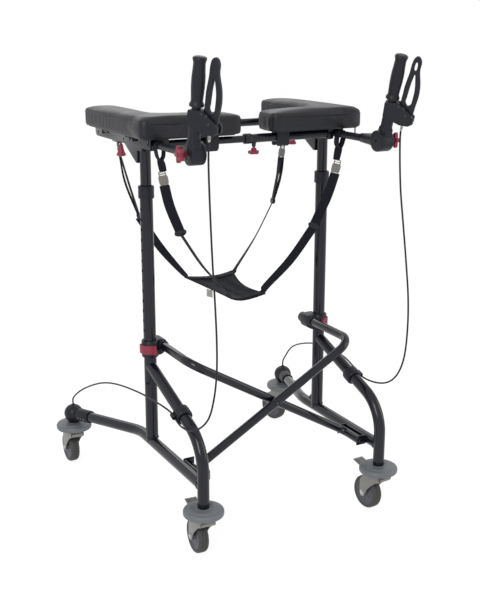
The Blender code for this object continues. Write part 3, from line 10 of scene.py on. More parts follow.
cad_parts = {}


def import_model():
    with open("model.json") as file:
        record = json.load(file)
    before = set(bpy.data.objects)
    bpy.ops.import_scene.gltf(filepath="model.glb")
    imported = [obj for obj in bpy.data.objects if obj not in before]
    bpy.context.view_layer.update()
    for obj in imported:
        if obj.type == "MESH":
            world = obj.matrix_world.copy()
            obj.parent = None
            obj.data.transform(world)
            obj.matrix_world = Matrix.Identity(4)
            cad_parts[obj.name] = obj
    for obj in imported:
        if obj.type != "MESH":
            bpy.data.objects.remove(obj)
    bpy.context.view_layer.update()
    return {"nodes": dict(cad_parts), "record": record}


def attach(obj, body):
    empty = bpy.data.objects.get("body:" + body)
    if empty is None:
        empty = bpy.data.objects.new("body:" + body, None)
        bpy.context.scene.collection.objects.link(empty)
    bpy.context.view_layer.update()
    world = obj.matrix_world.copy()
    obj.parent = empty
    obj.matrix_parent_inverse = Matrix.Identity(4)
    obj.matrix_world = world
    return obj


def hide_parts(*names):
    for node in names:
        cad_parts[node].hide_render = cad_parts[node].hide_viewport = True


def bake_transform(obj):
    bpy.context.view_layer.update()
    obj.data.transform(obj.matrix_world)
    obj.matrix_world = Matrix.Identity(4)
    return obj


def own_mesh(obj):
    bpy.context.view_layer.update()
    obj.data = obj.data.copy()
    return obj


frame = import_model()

NODES = frame["nodes"]
SIDES = {-1: "left", 1: "right"}
ENDS = ("front", "rear")


def mm(*points):
    """Points given in millimetres, in metres."""
    return [tuple(x / 1000 for x in point) for point in points]


# Places that the part's source also has

POST_HALF = 0.265
POST_Y = -0.0288
FRONT_Y = POST_Y - 0.3155
REAR_HALF = 0.364
REAR_Y = POST_Y + 0.3675
POST_RADIUS = 0.0168
POST_TOP_Z = 0.885
RAIL_Z = 0.199
RAIL_RADIUS = 0.0149
RAIL_BEND = 0.18
BALL_Z = 0.168
LEG_TOP_Z = 0.418
LEG_CORNER_Z = 0.306
LEG_BOTTOM_Z = 0.1413
LEG_RADIUS = 0.0153
LEG_BEND = 0.105
CLIP_Y = {-1: POST_Y - 0.200, 1: POST_Y - 0.177}
HOLE_TOP_Z = 0.841
HOLE_PITCH = 0.027
HOLE_COUNT = 13
HOLE_RADIUS = 0.0044
BRACE_RADIUS = 0.0115
PIVOT_HALF = 0.234
PIVOT_LOW_Z = 0.200
PIVOT_HIGH_Z = 0.472
PIN_RADIUS = 0.004
BRACE_Y = {"rear": POST_Y - 0.190, "front": POST_Y - 0.2145}
BRACE_FRONT_Y = POST_Y - 0.266
CLAMP_Z = 0.466
BAND_INNER = 0.0229
BAND_OUTER = 0.0265
LATCH_PIN = (0.26161, -0.05639)
CHANNEL_BOTTOM_Z = 0.999
PAD_OUTER = POST_HALF + 0.058
PAD_INNER = 0.046
PAD_FRONT_Y = POST_Y - 0.117
PAD_REAR_Y = POST_Y + 0.296
PAD_BOTTOM_Z = 1.0345
PAD_TOP_Z = 1.0775
HUB_Y = POST_Y - 0.282
HUB_Z = 1.0145
HUB_INNER_X = POST_HALF - 0.0224
HUB_SPLIT_X = POST_HALF - 0.0150
HUB_OUTER_X = POST_HALF + 0.0155
HUB_GAP = 0.0003
ARM_Z = 1.012
ARM_RADIUS = 0.0095
ARM_REAR_Y = POST_Y + 0.215
BAR_Z = 1.012
BAR_RADIUS = 0.0093
BAR_Y = {"front": POST_Y - 0.064, "rear": POST_Y + 0.296}
BAR_REACH = POST_HALF - 0.0188
CLAMP_KNOB_Y = POST_Y + 0.163
WIDTH_KNOB_X = 0.013
TRAIL = 0.040
WHEEL_RADIUS = 0.046
FORK_TOP_Z = 0.1125
FORK_INNER = 0.018
FORK_PLATE = 0.0025
RING_Z = 0.129
TURN = {("front", -1): -3.0, ("front", 1): 5.0, ("rear", -1): 0.0, ("rear", 1): 15.0}
HANDLE_TILT = {-1: 10.5, 1: 16.5}
LEVER_TURN = {-1: 35.0, 1: 45.0}
LEVER_PIVOT = (0.041, 0.0790)
GRIP_BOTTOM = 0.1108
GRIP_TOP = GRIP_BOTTOM + 0.1105
CABLE_RADIUS = 0.0024
CABLE_KNOTS = {
    -1: mm(
        (-243.2, -347.9, 1043.9), (-243.2, -347, 1039), (-243.2, -344.8, 998), (-243.5, -349.8, 910),
        (-244.5, -363.8, 768), (-246, -378.8, 668), (-248, -390.3, 570), (-250.5, -392.8, 503),
        (-254.5, -385.8, 440), (-260, -367.8, 385), (-270, -344.8, 355), (-282.5, -316.8, 338.5),
        (-289, -275.8, 334.5), (-290.2, -242, 342.3), (-290.2, -228.8, 347), (-290.2, -215.6, 351.7),
        (-305.8, -108.8, 359), (-318, -15.8, 354), (-329.4, 73.2, 341.5), (-339.3, 149.2, 321),
        (-352.9, 253.2, 274), (-361, 313.2, 236), (-364, 338.7, 211.8), (-364, 338.7, 195.8)),
    1: mm(
        (291.9, -346.7, 1041.1), (291.9, -345.3, 1036.3), (292.5, -344.8, 998), (292.2, -354.8, 898),
        (292, -372.3, 810), (291.9, -391.8, 712), (291.7, -406.8, 624), (291.6, -410.3, 543),
        (291.4, -402.3, 464), (291.2, -382.8, 416), (290.8, -353.8, 383), (290.5, -314.8, 362),
        (290.3, -261.8, 350.5), (290.2, -219, 350.5), (290.2, -205.8, 355.2), (290.2, -192.6, 359.8),
        (305.5, -108.8, 371), (320.5, 1.2, 366), (334.9, 114.2, 344.6), (354.5, 263.2, 287),
        (361.5, 317.2, 239), (364, 338.7, 211.8), (364, 338.7, 195.8)),
}


# Small helpers

def at(x, y, z):
    return Matrix.Translation((x, y, z))


def spun(degrees, axis):
    return Matrix.Rotation(math.radians(degrees), 4, axis)


def full_turn(count):
    """Angles spaced evenly round a circle."""
    return [2 * math.pi * k / count for k in range(count)]


def polar(radius, angle):
    return radius * math.cos(angle), radius * math.sin(angle)


def tuned(item, **settings):
    for key, value in settings.items():
        setattr(item, key, value)
    return item


def linked(name, data):
    item = bpy.data.objects.new(name, data)
    bpy.context.scene.collection.objects.link(item)
    return item


def to_mesh(shape, name):
    mesh = bpy.data.meshes.new(name)
    shape.to_mesh(mesh)
    shape.free()
    return mesh


def from_mesh(mesh):
    shape = bmesh.new()
    shape.from_mesh(mesh)
    return shape


def outward(shape):
    """Turns the faces of a shape outward."""
    bmesh.ops.recalc_face_normals(shape, faces=shape.faces)
    return shape


def spots_of(mesh):
    return np.array([v.co for v in mesh.vertices])


def move_to(mesh, spots):
    for vertex, spot in zip(mesh.vertices, spots):
        vertex.co = spot
    return mesh


def join(shape, other):
    """Adds one shape's faces to another's."""
    shape.from_mesh(to_mesh(other, "joined"))
    return shape


def applied(item, *helpers):
    """The mesh that an object has under its modifiers. The object and its helpers go."""
    mesh = bpy.data.meshes.new_from_object(item.evaluated_get(bpy.context.evaluated_depsgraph_get()))
    for used in (item, *helpers):
        bpy.data.objects.remove(used, do_unlink=True)
    return mesh


# Camera

def camera():
    """The photograph's view: a long lens from the front left, a little above the object."""
    yaw, pitch, distance = -0.492, 0.2746, 2.8424
    target = Vector((0.0238, -0.0028, 0.5531))
    back = Vector((math.sin(yaw) * math.cos(pitch), -math.cos(yaw) * math.cos(pitch), math.sin(pitch)))
    right = Vector((math.cos(yaw), math.sin(yaw), 0))
    lens = bpy.data.cameras.new("camera")
    tuned(lens, sensor_fit="VERTICAL", sensor_height=36.0, lens=61.11, shift_x=-0.0017)
    view = linked("camera", lens)
    matrix = Matrix((right, back.cross(right), back)).transposed().to_4x4()
    matrix.translation = target + back * distance
    view.matrix_world = matrix
    bpy.context.scene.camera = view


camera()


# Materials

def add_node(tree, kind, **inputs):
    node = tree.nodes.new("ShaderNode" + kind)
    for key, value in inputs.items():
        node.inputs[key.replace("_", " ")].default_value = value
    return node


def finish(name, colour, roughness, metallic, scale, shade, gloss, grain=None, specular=0.5, sheen=0.0):
    """A material with a slow colour change, uneven gloss and a fine grain. grain is its scale and depth."""
    made = bpy.data.materials.new(name)
    made.use_nodes = True
    tree = made.node_tree
    link = tree.links.new
    shader = tree.nodes["Principled BSDF"]
    for key, value in (("Metallic", metallic), ("Specular IOR Level", specular), ("Sheen Weight", sheen)):
        shader.inputs[key].default_value = value
    place = add_node(tree, "TexCoord").outputs["Object"]
    slow = add_node(tree, "TexNoise", Scale=scale, Detail=4.0)
    link(place, slow.inputs["Vector"])
    ramp = add_node(tree, "ValToRGB")
    for stop, position, way in zip(ramp.color_ramp.elements, (0.30, 0.70), (-1, 1)):
        stop.position = position
        stop.color = (*[c * (1 + way * shade) for c in colour], 1)
    link(slow.outputs["Fac"], ramp.inputs["Fac"])
    link(ramp.outputs["Color"], shader.inputs["Base Color"])
    rough = add_node(tree, "MapRange", From_Min=0.3, From_Max=0.7, To_Min=roughness - gloss, To_Max=roughness + gloss)
    link(slow.outputs["Fac"], rough.inputs["Value"])
    link(rough.outputs["Result"], shader.inputs["Roughness"])
    if grain:
        fine = add_node(tree, "TexNoise", Scale=grain[0], Detail=2.0)
        link(place, fine.inputs["Vector"])
        add_bump(tree, fine, grain[1])
    return made


def add_bump(tree, texture, depth):
    bump = add_node(tree, "Bump", Strength=1.0, Distance=depth)
    tree.links.new(texture.outputs["Fac"], bump.inputs["Height"])
    tree.links.new(bump.outputs["Normal"], tree.nodes["Principled BSDF"].inputs["Normal"])


def weave(made, scale, depth):
    """Adds the cross ribs of webbing to a finish."""
    tree = made.node_tree
    wave = tuned(add_node(tree, "TexWave", Scale=scale, Distortion=0.6), bands_direction="Z")
    tree.links.new(add_node(tree, "TexCoord").outputs["Object"], wave.inputs["Vector"])
    add_bump(tree, wave, depth)


PAINT = finish("charcoal_paint", (0.0075, 0.0085, 0.0155), 0.15, 0.0, 25.0, 0.12, 0.04, (700.0, 0.00002), 0.36)
PLASTIC = finish("moulded_black", (0.0125, 0.0135, 0.02), 0.42, 0.0, 40.0, 0.12, 0.06, (900.0, 0.00005), 0.26)
RUBBER = finish("grip_rubber", (0.0105, 0.011, 0.016), 0.42, 0.0, 50.0, 0.12, 0.06, (620.0, 0.00016), 0.28)
VINYL = finish("black_vinyl", (0.0065, 0.007, 0.0115), 0.47, 0.0, 14.0, 0.15, 0.05, (500.0, 0.00003), 0.38)
BUMPER = finish("bumper_grey", (0.168, 0.182, 0.2), 0.46, 0.0, 30.0, 0.06, 0.05, (900.0, 0.00008))
STEEL = finish("fork_steel", (0.235, 0.23, 0.215), 0.40, 0.55, 60.0, 0.10, 0.08, (700.0, 0.00006))
BRIGHT = finish("bright_zinc", (0.48, 0.47, 0.45), 0.28, 0.9, 80.0, 0.08, 0.06, (900.0, 0.00003))
TYRE = finish("tyre_grey", (0.058, 0.057, 0.056), 0.66, 0.0, 60.0, 0.10, 0.08, (1500.0, 0.00012))
CORE = finish("wheel_core", (0.078, 0.084, 0.102), 0.50, 0.0, 60.0, 0.10, 0.06, (1500.0, 0.00008))
RIVET = finish("dark_steel", (0.026, 0.027, 0.031), 0.34, 0.4, 80.0, 0.08, 0.05, (900.0, 0.00003))
RED = finish("knob_red", (0.29, 0.023, 0.054), 0.46, 0.0, 60.0, 0.08, 0.05, (1400.0, 0.00006))
WEBBING = finish("webbing_black", (0.01, 0.011, 0.017), 0.78, 0.0, 60.0, 0.15, 0.06, specular=0.15, sheen=0.04)
weave(WEBBING, 420.0, 0.00012)
CLOTH = finish("seat_cloth", (0.011, 0.012, 0.018), 0.85, 0.0, 50.0, 0.18, 0.05, (260.0, 0.00005), 0.15, 0.05)
BUCKLE = finish("buckle_grey", (0.205, 0.195, 0.175), 0.50, 0.0, 60.0, 0.06, 0.05, (1400.0, 0.00006))
LABEL = finish("blank_tag", (0.42, 0.41, 0.39), 0.70, 0.0, 60.0, 0.05, 0.05, (1600.0, 0.00008))
CABLE_SKIN = finish("cable_skin", (0.008, 0.008, 0.01), 0.34, 0.0, 60.0, 0.10, 0.05, (900.0, 0.00002), 0.3)
FINISHES = {
    "tube_paint": PAINT, "black_plastic": PLASTIC, "grip_rubber": RUBBER, "pad_vinyl": VINYL,
    "bumper_grey": BUMPER, "fork_steel": STEEL, "tyre_grey": TYRE, "knob_red": RED,
    "webbing_black": WEBBING, "cable_black": CABLE_SKIN,
}
SLOT_OF = {row["node"]: row["material_slot"] for row in frame["record"]["subparts"]}
BODY_OF = {node: body for body, names in frame["record"]["behaviour"]["bodies"].items() for node in names}


def dress(item, look):
    item.data.materials.clear()
    item.data.materials.append(look)


def dress_nodes():
    """Each CAD node gets the finish of its material slot in the record."""
    for name, slot in SLOT_OF.items():
        for i in range(len(NODES[name].data.materials)):
            NODES[name].data.materials[i] = FINISHES[slot]


dress_nodes()


def piece(name, shape, node, look=None, replaces=True, angle=38.0, ride=True):
    """A smooth shaded piece that moves with a node's body and takes its slot."""
    item = linked(name, to_mesh(outward(shape), name))
    for face in item.data.polygons:
        face.use_smooth = True
    item.data.set_sharp_from_angle(angle=math.radians(angle))
    dress(item, look or FINISHES[SLOT_OF[node]])
    if ride:
        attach(item, BODY_OF[node])
    if replaces:
        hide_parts(node)
    return item


# Paths and outlines

def smooth_curve(knots, per_span, closed=False):
    """Centripetal Catmull-Rom curve through the knots."""
    def mix(a, b, low, high):
        return a * ((high - t) / (high - low)) + b * ((t - low) / (high - low))

    points = [Vector(k) for k in knots]
    if closed:
        ends = [points[-1], *points, points[0], points[1]]
    else:
        ends = [points[0] * 2 - points[1], *points, points[-1] * 2 - points[-2]]
    result = []
    for i in range(1, len(ends) - 2):
        p0, p1, p2, p3 = ends[i - 1:i + 3]
        t1 = (p1 - p0).length ** 0.5
        t2 = t1 + (p2 - p1).length ** 0.5
        t3 = t2 + (p3 - p2).length ** 0.5
        for step in range(per_span):
            t = t1 + (t2 - t1) * step / per_span
            middle = mix(p1, p2, t1, t2)
            before = mix(mix(p0, p1, 0, t1), middle, 0, t2)
            after = mix(middle, mix(p2, p3, t2, t3), t1, t3)
            result.append(mix(before, after, t1, t2))
    if not closed:
        result.append(points[-1])
    return result


def arc_corner(before, corner, after, radius, steps):
    """Points of the arc that rounds a corner of a path."""
    before, corner, after = Vector(before), Vector(corner), Vector(after)
    to_before = (before - corner).normalized()
    to_after = (after - corner).normalized()
    half = to_before.angle(to_after) / 2
    reach = radius / math.tan(half)
    centre = corner + (to_before + to_after).normalized() * (radius / math.sin(half))
    start = corner + to_before * reach - centre
    axis = start.cross(corner + to_after * reach - centre).normalized()
    turn = math.pi - 2 * half
    return [centre + Matrix.Rotation(turn * i / steps, 3, axis) @ start for i in range(steps + 1)]


def rounded_path(corners, radii):
    points = [Vector(corners[0])]
    for i, radius in enumerate(radii):
        points += arc_corner(*corners[i:i + 3], radius, 12)
    return points + [Vector(corners[-1])]


def rounded(outline, radius, steps=4):
    """A closed flat outline with each corner rounded, the radius held to what its sides allow."""
    points = []
    count = len(outline)
    for i in range(count):
        before, corner, after = (Vector((*outline[(i + k) % count], 0)) for k in (-1, 0, 1))
        a, b = before - corner, after - corner
        half = a.angle(b) / 2
        if half > math.radians(86):
            points.append((corner.x, corner.y))
            continue
        held = min(radius, 0.45 * min(a.length, b.length) * math.tan(half))
        points += [(p.x, p.y) for p in arc_corner(before, corner, after, held, steps)]
    return points


def mirrored(points, axis=1):
    """Half an outline or profile, then its mirror image. axis is the coordinate that changes sign."""
    sign = (-1, 1) if axis == 0 else (1, -1)
    return [*points, *[(sign[0] * a, sign[1] * b) for a, b in reversed(points)]]


def symmetric(radius, *half):
    """A rounded outline that is alike on both sides of its middle line, from its half in millimetres."""
    return rounded(mirrored(mm(*half), 0), radius)


# Places

def turned_about(point, axis):
    """The place that puts local Z on an axis through a point."""
    place = Vector(axis).to_track_quat("Z", "Y").to_matrix().to_4x4()
    place.translation = Vector(point)
    return place


def upright(point, across, up):
    """The place that puts a flat outline's X along across and its Y along up."""
    x, y = Vector(across).normalized(), Vector(up).normalized()
    place = Matrix((x, y, x.cross(y))).transposed().to_4x4()
    place.translation = Vector(point)
    return place


def side_view(x):
    """The place that stands an outline of Y and Z up at x."""
    return upright((x, 0, 0), (0, 1, 0), (0, 0, 1))


def front_view(y):
    """The place that stands an outline of X and Z up at y."""
    return upright((0, y, 0), (1, 0, 0), (0, 0, 1))


def moved(place, *points):
    return [place @ Vector(p) for p in points]


def aimed(place, *axis):
    return place.to_3x3() @ Vector(axis)


def above(z):
    return Vector((0, 0, z))


def post_place(side, z=0):
    return at(side * POST_HALF, POST_Y, z)


# Shapes

def skin(shape, rows, around=True, ends=True, loop=False):
    """Adds the faces between rows of vertices. around joins each row's ends, loop joins the last row to the first."""
    for a, b in zip(rows, rows[1:] + (rows[:1] if loop else [])):
        for k in range(len(a) if around else len(a) - 1):
            j = (k + 1) % len(a)
            shape.faces.new((a[k], a[j], b[j], b[k]))
    if ends and not loop:
        shape.faces.new(rows[0][::-1])
        shape.faces.new(rows[-1])
    return shape


def circle(shape, centre, across, along, radius, count):
    """Adds a ring of vertices."""
    return [shape.verts.new(centre + (across * math.cos(a) + along * math.sin(a)) * radius) for a in full_turn(count)]


def direction(points, i):
    """Which way a path runs at one of its points."""
    return (points[min(i + 1, len(points) - 1)] - points[max(i - 1, 0)]).normalized()


def tube(shape, points, radius, sides=28):
    """Adds a round tube along the points, with its ends closed. radius is one number or one for each point."""
    points = [Vector(p) for p in points]
    side = direction(points, 0).orthogonal().normalized()
    rings = []
    for i, point in enumerate(points):
        ahead = direction(points, i)
        side = (side - ahead * side.dot(ahead)).normalized()
        size = radius[i] if isinstance(radius, list) else radius
        rings.append(circle(shape, point, side, ahead.cross(side), size, sides))
    return skin(shape, rings)


def lathe(shape, profile, place=None, sides=40):
    """Adds a solid of revolution about local Z from (radius, height) points; a loop if no end is on the axis."""
    place = place or Matrix.Identity(4)
    across, along, up = place.to_3x3().transposed()
    rings = []
    for radius, height in profile:
        centre = place.translation + up * height
        rings.append(circle(shape, centre, across, along, radius, sides) if radius else [shape.verts.new(centre)])
    loop = profile[0][0] and profile[-1][0]
    for a, b in zip(rings, rings[1:] + (rings[:1] if loop else [])):
        for k in range(sides):
            corners = [a[k % len(a)], b[k % len(b)], b[(k + 1) % len(b)], a[(k + 1) % len(a)]]
            shape.faces.new([v for i, v in enumerate(corners) if v not in corners[:i]])
    return shape


def turned(shape, profile, place=None, sides=40):
    """Adds a turned solid whose profile is closed to the axis at both ends."""
    return lathe(shape, [(0, profile[0][1]), *profile, (0, profile[-1][1])], place, sides)


def plate(shape, loops, half, place, edge=0.0008):
    """Adds a flat outline, with holes if there are more loops, with rounded edges."""
    loops = loops if isinstance(loops[0][0], (tuple, list)) else [loops]
    curve = tuned(bpy.data.curves.new("plate", "CURVE"), dimensions="2D", fill_mode="BOTH", extrude=half - edge,
                  bevel_depth=edge, bevel_resolution=2, offset=-edge)
    for number, loop in enumerate(loops):
        area = sum(a[0] * b[1] - b[0] * a[1] for a, b in zip(loop, [*loop[1:], loop[0]]))
        if (area > 0) != (number == 0):
            loop = loop[::-1]
        spline = curve.splines.new("POLY")
        spline.points.add(len(loop) - 1)
        for point, spot in zip(spline.points, loop):
            point.co = (*spot, 0.0, 1.0)
        spline.use_cyclic_u = True
    mesh = applied(linked("plate", curve))
    mesh.transform(place)
    flat = from_mesh(mesh)
    bmesh.ops.remove_doubles(flat, verts=flat.verts, dist=0.00001)
    return join(shape, flat)


def block(shape, corner, other, edge=0.0008):
    """Adds a block with rounded edges between two corners."""
    low, high = (Vector([pick(pair) for pair in zip(corner, other)]) for pick in (min, max))
    half = (high - low) / 2
    outline = mirrored([(half.x, -half.y), (half.x, half.y)], 0)
    return plate(shape, rounded(outline, edge * 1.5, 3), half.z, at(*(low + high) / 2), edge)


def bolt(shape, point, axis, radius, height, sides=24):
    """Adds a low domed screw or rivet head standing on a surface."""
    profile = [(0, -height), (radius, -height), (radius, height * 0.35), (radius * 0.78, height * 0.85), (0, height)]
    return lathe(shape, profile, turned_about(point, axis), sides)


def weld(shape, point, axis, radius):
    """Adds a low bead where one tube meets another."""
    profile = [(radius - 0.003, -0.0022), (radius, -0.0008), (radius - 0.0006, 0.0014), (radius - 0.003, 0.0024)]
    return lathe(shape, profile, turned_about(point, axis), 40)


def refined(node, bevel=0.0006, angle=35.0):
    """A CAD node's shape with its edges eased and its round faces smooth."""
    shape = from_mesh(NODES[node].data)
    bmesh.ops.remove_doubles(shape, verts=shape.verts, dist=0.00001)
    bmesh.ops.dissolve_limit(shape, angle_limit=math.radians(1.5), verts=shape.verts, edges=shape.edges)
    if bevel:
        sharp = [e for e in shape.edges if len(e.link_faces) == 2 and e.calc_face_angle(0) > math.radians(angle)]
        bmesh.ops.bevel(shape, geom=sharp, offset=bevel, segments=2, affect="EDGES", profile=0.6, clamp_overlap=True)
    return shape


def carve(body, cutter):
    """The body's shape less the cutter's."""
    holders = []
    for shape in (body, cutter):
        holders.append(linked("carve", to_mesh(outward(shape), "carve")))
    tuned(holders[0].modifiers.new("cut", "BOOLEAN"), object=holders[1], operation="DIFFERENCE", solver="EXACT")
    return from_mesh(applied(*holders))


# Brake cables

def cable(side, word):
    points = smooth_curve(CABLE_KNOTS[side], 4)
    made = piece("cable_" + word, tube(bmesh.new(), points, CABLE_RADIUS, 12), "brake_cable_" + word, ride=False)
    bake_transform(made)


# Frames

def ball_centre(side):
    return Vector((side * REAR_HALF, REAR_Y, BALL_Z))


def rail_bend(side):
    return Vector((side * POST_HALF, POST_Y + 0.078, RAIL_Z))


def post(side):
    """The outer post with its column of adjustment holes."""
    wall = [(0.0152, RAIL_Z), (0.0152, POST_TOP_Z), (POST_RADIUS, POST_TOP_Z), (POST_RADIUS, RAIL_Z)]
    body = lathe(bmesh.new(), wall, post_place(side), 48)
    drill = bmesh.new()
    for i in range(HOLE_COUNT):
        z = HOLE_TOP_Z - HOLE_PITCH * i
        tube(drill, [(side * (POST_HALF + out), POST_Y, z) for out in (0.010, 0.020)], HOLE_RADIUS, 14)
    return carve(body, drill)


def side_frame(side, word):
    """Post, lower rail, curved front leg, gusset, and the bracket of the cross brace."""
    x = side * POST_HALF
    shape = post(side)
    ball, bend = ball_centre(side), rail_bend(side)
    rail_end = ball - (ball - bend).normalized() * 0.036
    tube(shape, rounded_path([(x, FRONT_Y + 0.004, RAIL_Z), bend, rail_end], [RAIL_BEND]), RAIL_RADIUS, 36)
    leg = [(x, POST_Y, LEG_TOP_Z), (x, FRONT_Y, LEG_CORNER_Z), (x, FRONT_Y, LEG_BOTTOM_Z)]
    tube(shape, rounded_path(leg, [LEG_BEND]), LEG_RADIUS, 36)
    y, z = POST_Y + POST_RADIUS - 0.003, RAIL_Z + RAIL_RADIUS - 0.004
    plate(shape, rounded([(y, z), (y + 0.036, z), (y, z + 0.036)], 0.002), 0.002, side_view(x))
    tip, root = side * (PIVOT_HALF - 0.011), side * (POST_HALF - RAIL_RADIUS + 0.003)
    low, high = PIVOT_LOW_Z - 0.0125, PIVOT_LOW_Z + 0.0135
    for y in (BRACE_FRONT_Y - 0.0026, BRACE_Y["rear"] + 0.0141):
        block(shape, (tip, y - 0.002, low), (root, y + 0.002, high))
    block(shape, (root, BRACE_FRONT_Y - 0.003, low + 0.002),
          (root - side * 0.004, BRACE_Y["rear"] + 0.0145, high - 0.002))
    weld(shape, (x, FRONT_Y + 0.0135, RAIL_Z), (0, 1, 0), 0.0165)
    weld(shape, (x, POST_Y, RAIL_Z + 0.0125), (0, 0, 1), 0.0186)
    piece("frame_" + word, shape, "side_frame_" + word)


def collar(side, word):
    """Sleeve at the top of the outer post, with two raised bands."""
    sleeve = mm((15.2, 901), (19, 901), (20.5, 899.2), (20.5, 870.5), (20, 869), (17.2, 869))
    shape = lathe(bmesh.new(), sleeve, post_place(side), 48)
    for z in (0.8745, 0.8955):
        lathe(shape, mirrored(mm((20, -1.6), (20.9, -0.8))), post_place(side, z), 48)
    piece("collar_" + word, shape, "post_collar_" + word)


def rear_socket(side, word):
    """Ball over the rear caster, with its sleeve round the rail, foot, cable inlet and screws."""
    centre = ball_centre(side)
    back = (rail_bend(side) - centre).normalized()
    place, foot = turned_about(centre, back), at(centre.x, centre.y, 0)
    radius, steps = 0.0275, 24
    arc = [polar(radius, math.pi * i / steps)[::-1] for i in range(1, steps)]
    ball = [(0, radius), *arc, (0, -radius)]
    shape = lathe(bmesh.new(), ball, place)
    turned(shape, mm((19.2, 0), (18.7, 30), (18.7, 80.5), (17.7, 83), (15.1, 83), (15.1, 81)), place)
    lathe(shape, rounded(mm((20.8, 21.5), (20.8, 26.5), (18, 26.5), (18, 21.5)), 0.0012), place)
    turned(shape, mm((16.5, 141.3), (17.2, 143), (17.2, 152)), foot)
    turned(shape, mm((6.2, 191), (6.2, 195.5), (4.8, 196.8)), foot, 24)
    out = Vector((side, -0.25, -0.35))
    facing = (out - back * out.dot(back)).normalized()
    screws = bmesh.new()
    for along in (0.042, 0.055, 0.068):
        bolt(screws, centre + back * along + facing * 0.0187, facing, 0.0027, 0.0011, 18)
    piece("socket_screws_" + word, screws, "rear_socket_" + word, STEEL)
    piece("socket_" + word, shape, "rear_socket_" + word)


# Casters

def caster_place(side, end):
    x, y = (side * POST_HALF, FRONT_Y) if end == "front" else (side * REAR_HALF, REAR_Y)
    return at(x, y, 0) @ spun(TURN[end, side], "Z")


def bumper(side, end, tag):
    """Disc over the caster, with a raised crown and a rounded rim."""
    profile = mm(
        (6.2, 12), (19.5, 12), (20, 11.1), (21.4, 11.1), (21.9, 11.9), (38.5, 11.4), (39.8, 9.4), (47.5, 8.1),
        (50.5, 6.3), (52, 3), (52, -3.5), (50.8, -6.5), (48.5, -7.9), (37.2, -12.7), (35.5, -13), (6.2, -13))
    spot = caster_place(side, end).translation
    shape = lathe(bmesh.new(), rounded(profile, 0.0012, 2), at(spot.x, spot.y, RING_Z), 56)
    piece("bumper_" + tag, shape, "bumper_ring_" + tag)


# Profile, distance from the wheel's middle and number of sides
AXLE_NUT = (mm((6.8, 0), (6.8, 2.2), (5.2, 3)), 0.0203, 6)
AXLE_WASHER = (mm((8.2, 0), (8.2, 0.7)), 0.0204, 28)


def fork(side, end, tag):
    """Pressed steel fork with its skirt, swivel race, stem, axle and axle nuts."""
    place = caster_place(side, end)
    thick = FORK_PLATE / 2
    crown = symmetric(0.004, (-20.5, 30), (-20.5, -27), (-15.5, -33))
    shape = plate(bmesh.new(), crown, thick, place @ at(0, 0, FORK_TOP_Z - thick), 0.0007)
    cheek = rounded(mm(
        (-28, 111), (-28, 100), (-12, 93), (8, 76), (22, 60), (30, 44), (32, 37.5), (40, 35), (48, 37.5),
        (51, 46), (51, 84), (30, 111)), 0.006)
    nuts = bmesh.new()
    for way in (-1, 1):
        plate(shape, cheek, thick, place @ side_view(way * (FORK_INNER + thick)), 0.0006)
        for profile, reach, sides in (AXLE_NUT, AXLE_WASHER):
            turned(nuts, profile, place @ turned_about((way * reach, TRAIL, WHEEL_RADIUS), (way, 0, 0)), sides)
    skirt = smooth_curve(mm((0, -32.2, 111.5), (0, -31.2, 106.2), (0, -26.2, 100.8), (0, -16, 96.2), (0, -6, 92.5)), 4)
    band(shape, moved(place, *skirt), 2 * FORK_INNER + 0.002, 0.0022, aimed(place, 1, 0, 0))
    tube(shape, moved(place, *[(x, TRAIL, WHEEL_RADIUS) for x in (-0.0225, 0.0225)]), 0.004, 20)
    turned(shape, mm((16.5, 115.7), (18.5, 113.7), (19.5, 112.1)), place)
    tube(shape, moved(place, above(FORK_TOP_Z), above(0.168)), 0.0055, 20)
    piece("axle_nuts_" + tag, nuts, "caster_fork_" + tag, BRIGHT)
    piece("fork_" + tag, shape, "caster_fork_" + tag)


def wheel(side, end, tag):
    """Tyre with two shallow grooves, on a core with a raised rim, a hub boss and studs."""
    place = caster_place(side, end) @ at(0, TRAIL, WHEEL_RADIUS) @ spun(90, "Y")
    tread = mirrored(mm(
        (34.5, -12.75), (40, -13.75), (43, -12.75), (45.4, -9.55), (46, -4.8), (44.8, -4.1), (44.8, -3.1), (46, -2.4)))
    piece("tyre_" + tag, lathe(bmesh.new(), tread, place, 64), "wheel_" + tag)
    core = mirrored(mm(
        (4.5, -15.5), (9, -15.5), (9.8, -14.6), (10.4, -11.8), (29, -10.6), (31.8, -12.6), (34.8, -12.6), (35.2, -10)))
    shape = lathe(bmesh.new(), core, place, 56)
    for way in (-1, 1):
        for angle in full_turn(6):
            spot = place @ Vector((*polar(0.02, angle), way * 0.0109))
            bolt(shape, spot, aimed(place, 0, 0, way), 0.0030, 0.0011, 16)
    piece("core_" + tag, shape, "wheel_" + tag, CORE)


def pedal(side, word):
    """Angular lock pedal with ribs on its tread."""
    place = caster_place(side, "front") @ at(0, 0.002, 0.1015) @ spun(6.5, "X")
    profile = mm((-3, -2.5), (34, -2.2), (60, 10), (88, 14.2), (88, 17.2), (58, 14), (32, 2.2), (-3, 2.5))
    shape = plate(bmesh.new(), rounded(profile, 0.004), 0.016, place @ side_view(0), 0.0009)
    tube(shape, moved(place, (-0.0176, 0, 0), (0.0176, 0, 0)), 0.0034, 16)
    for y, z in mm((67, 15.445), (74, 16.18), (81, 16.915)):
        tube(shape, moved(place, (-0.013, y, z), (0.013, y, z)), 0.0009, 10)
    piece("pedal_" + word, shape, "lock_pedal_" + word)


# Cross brace and clamps

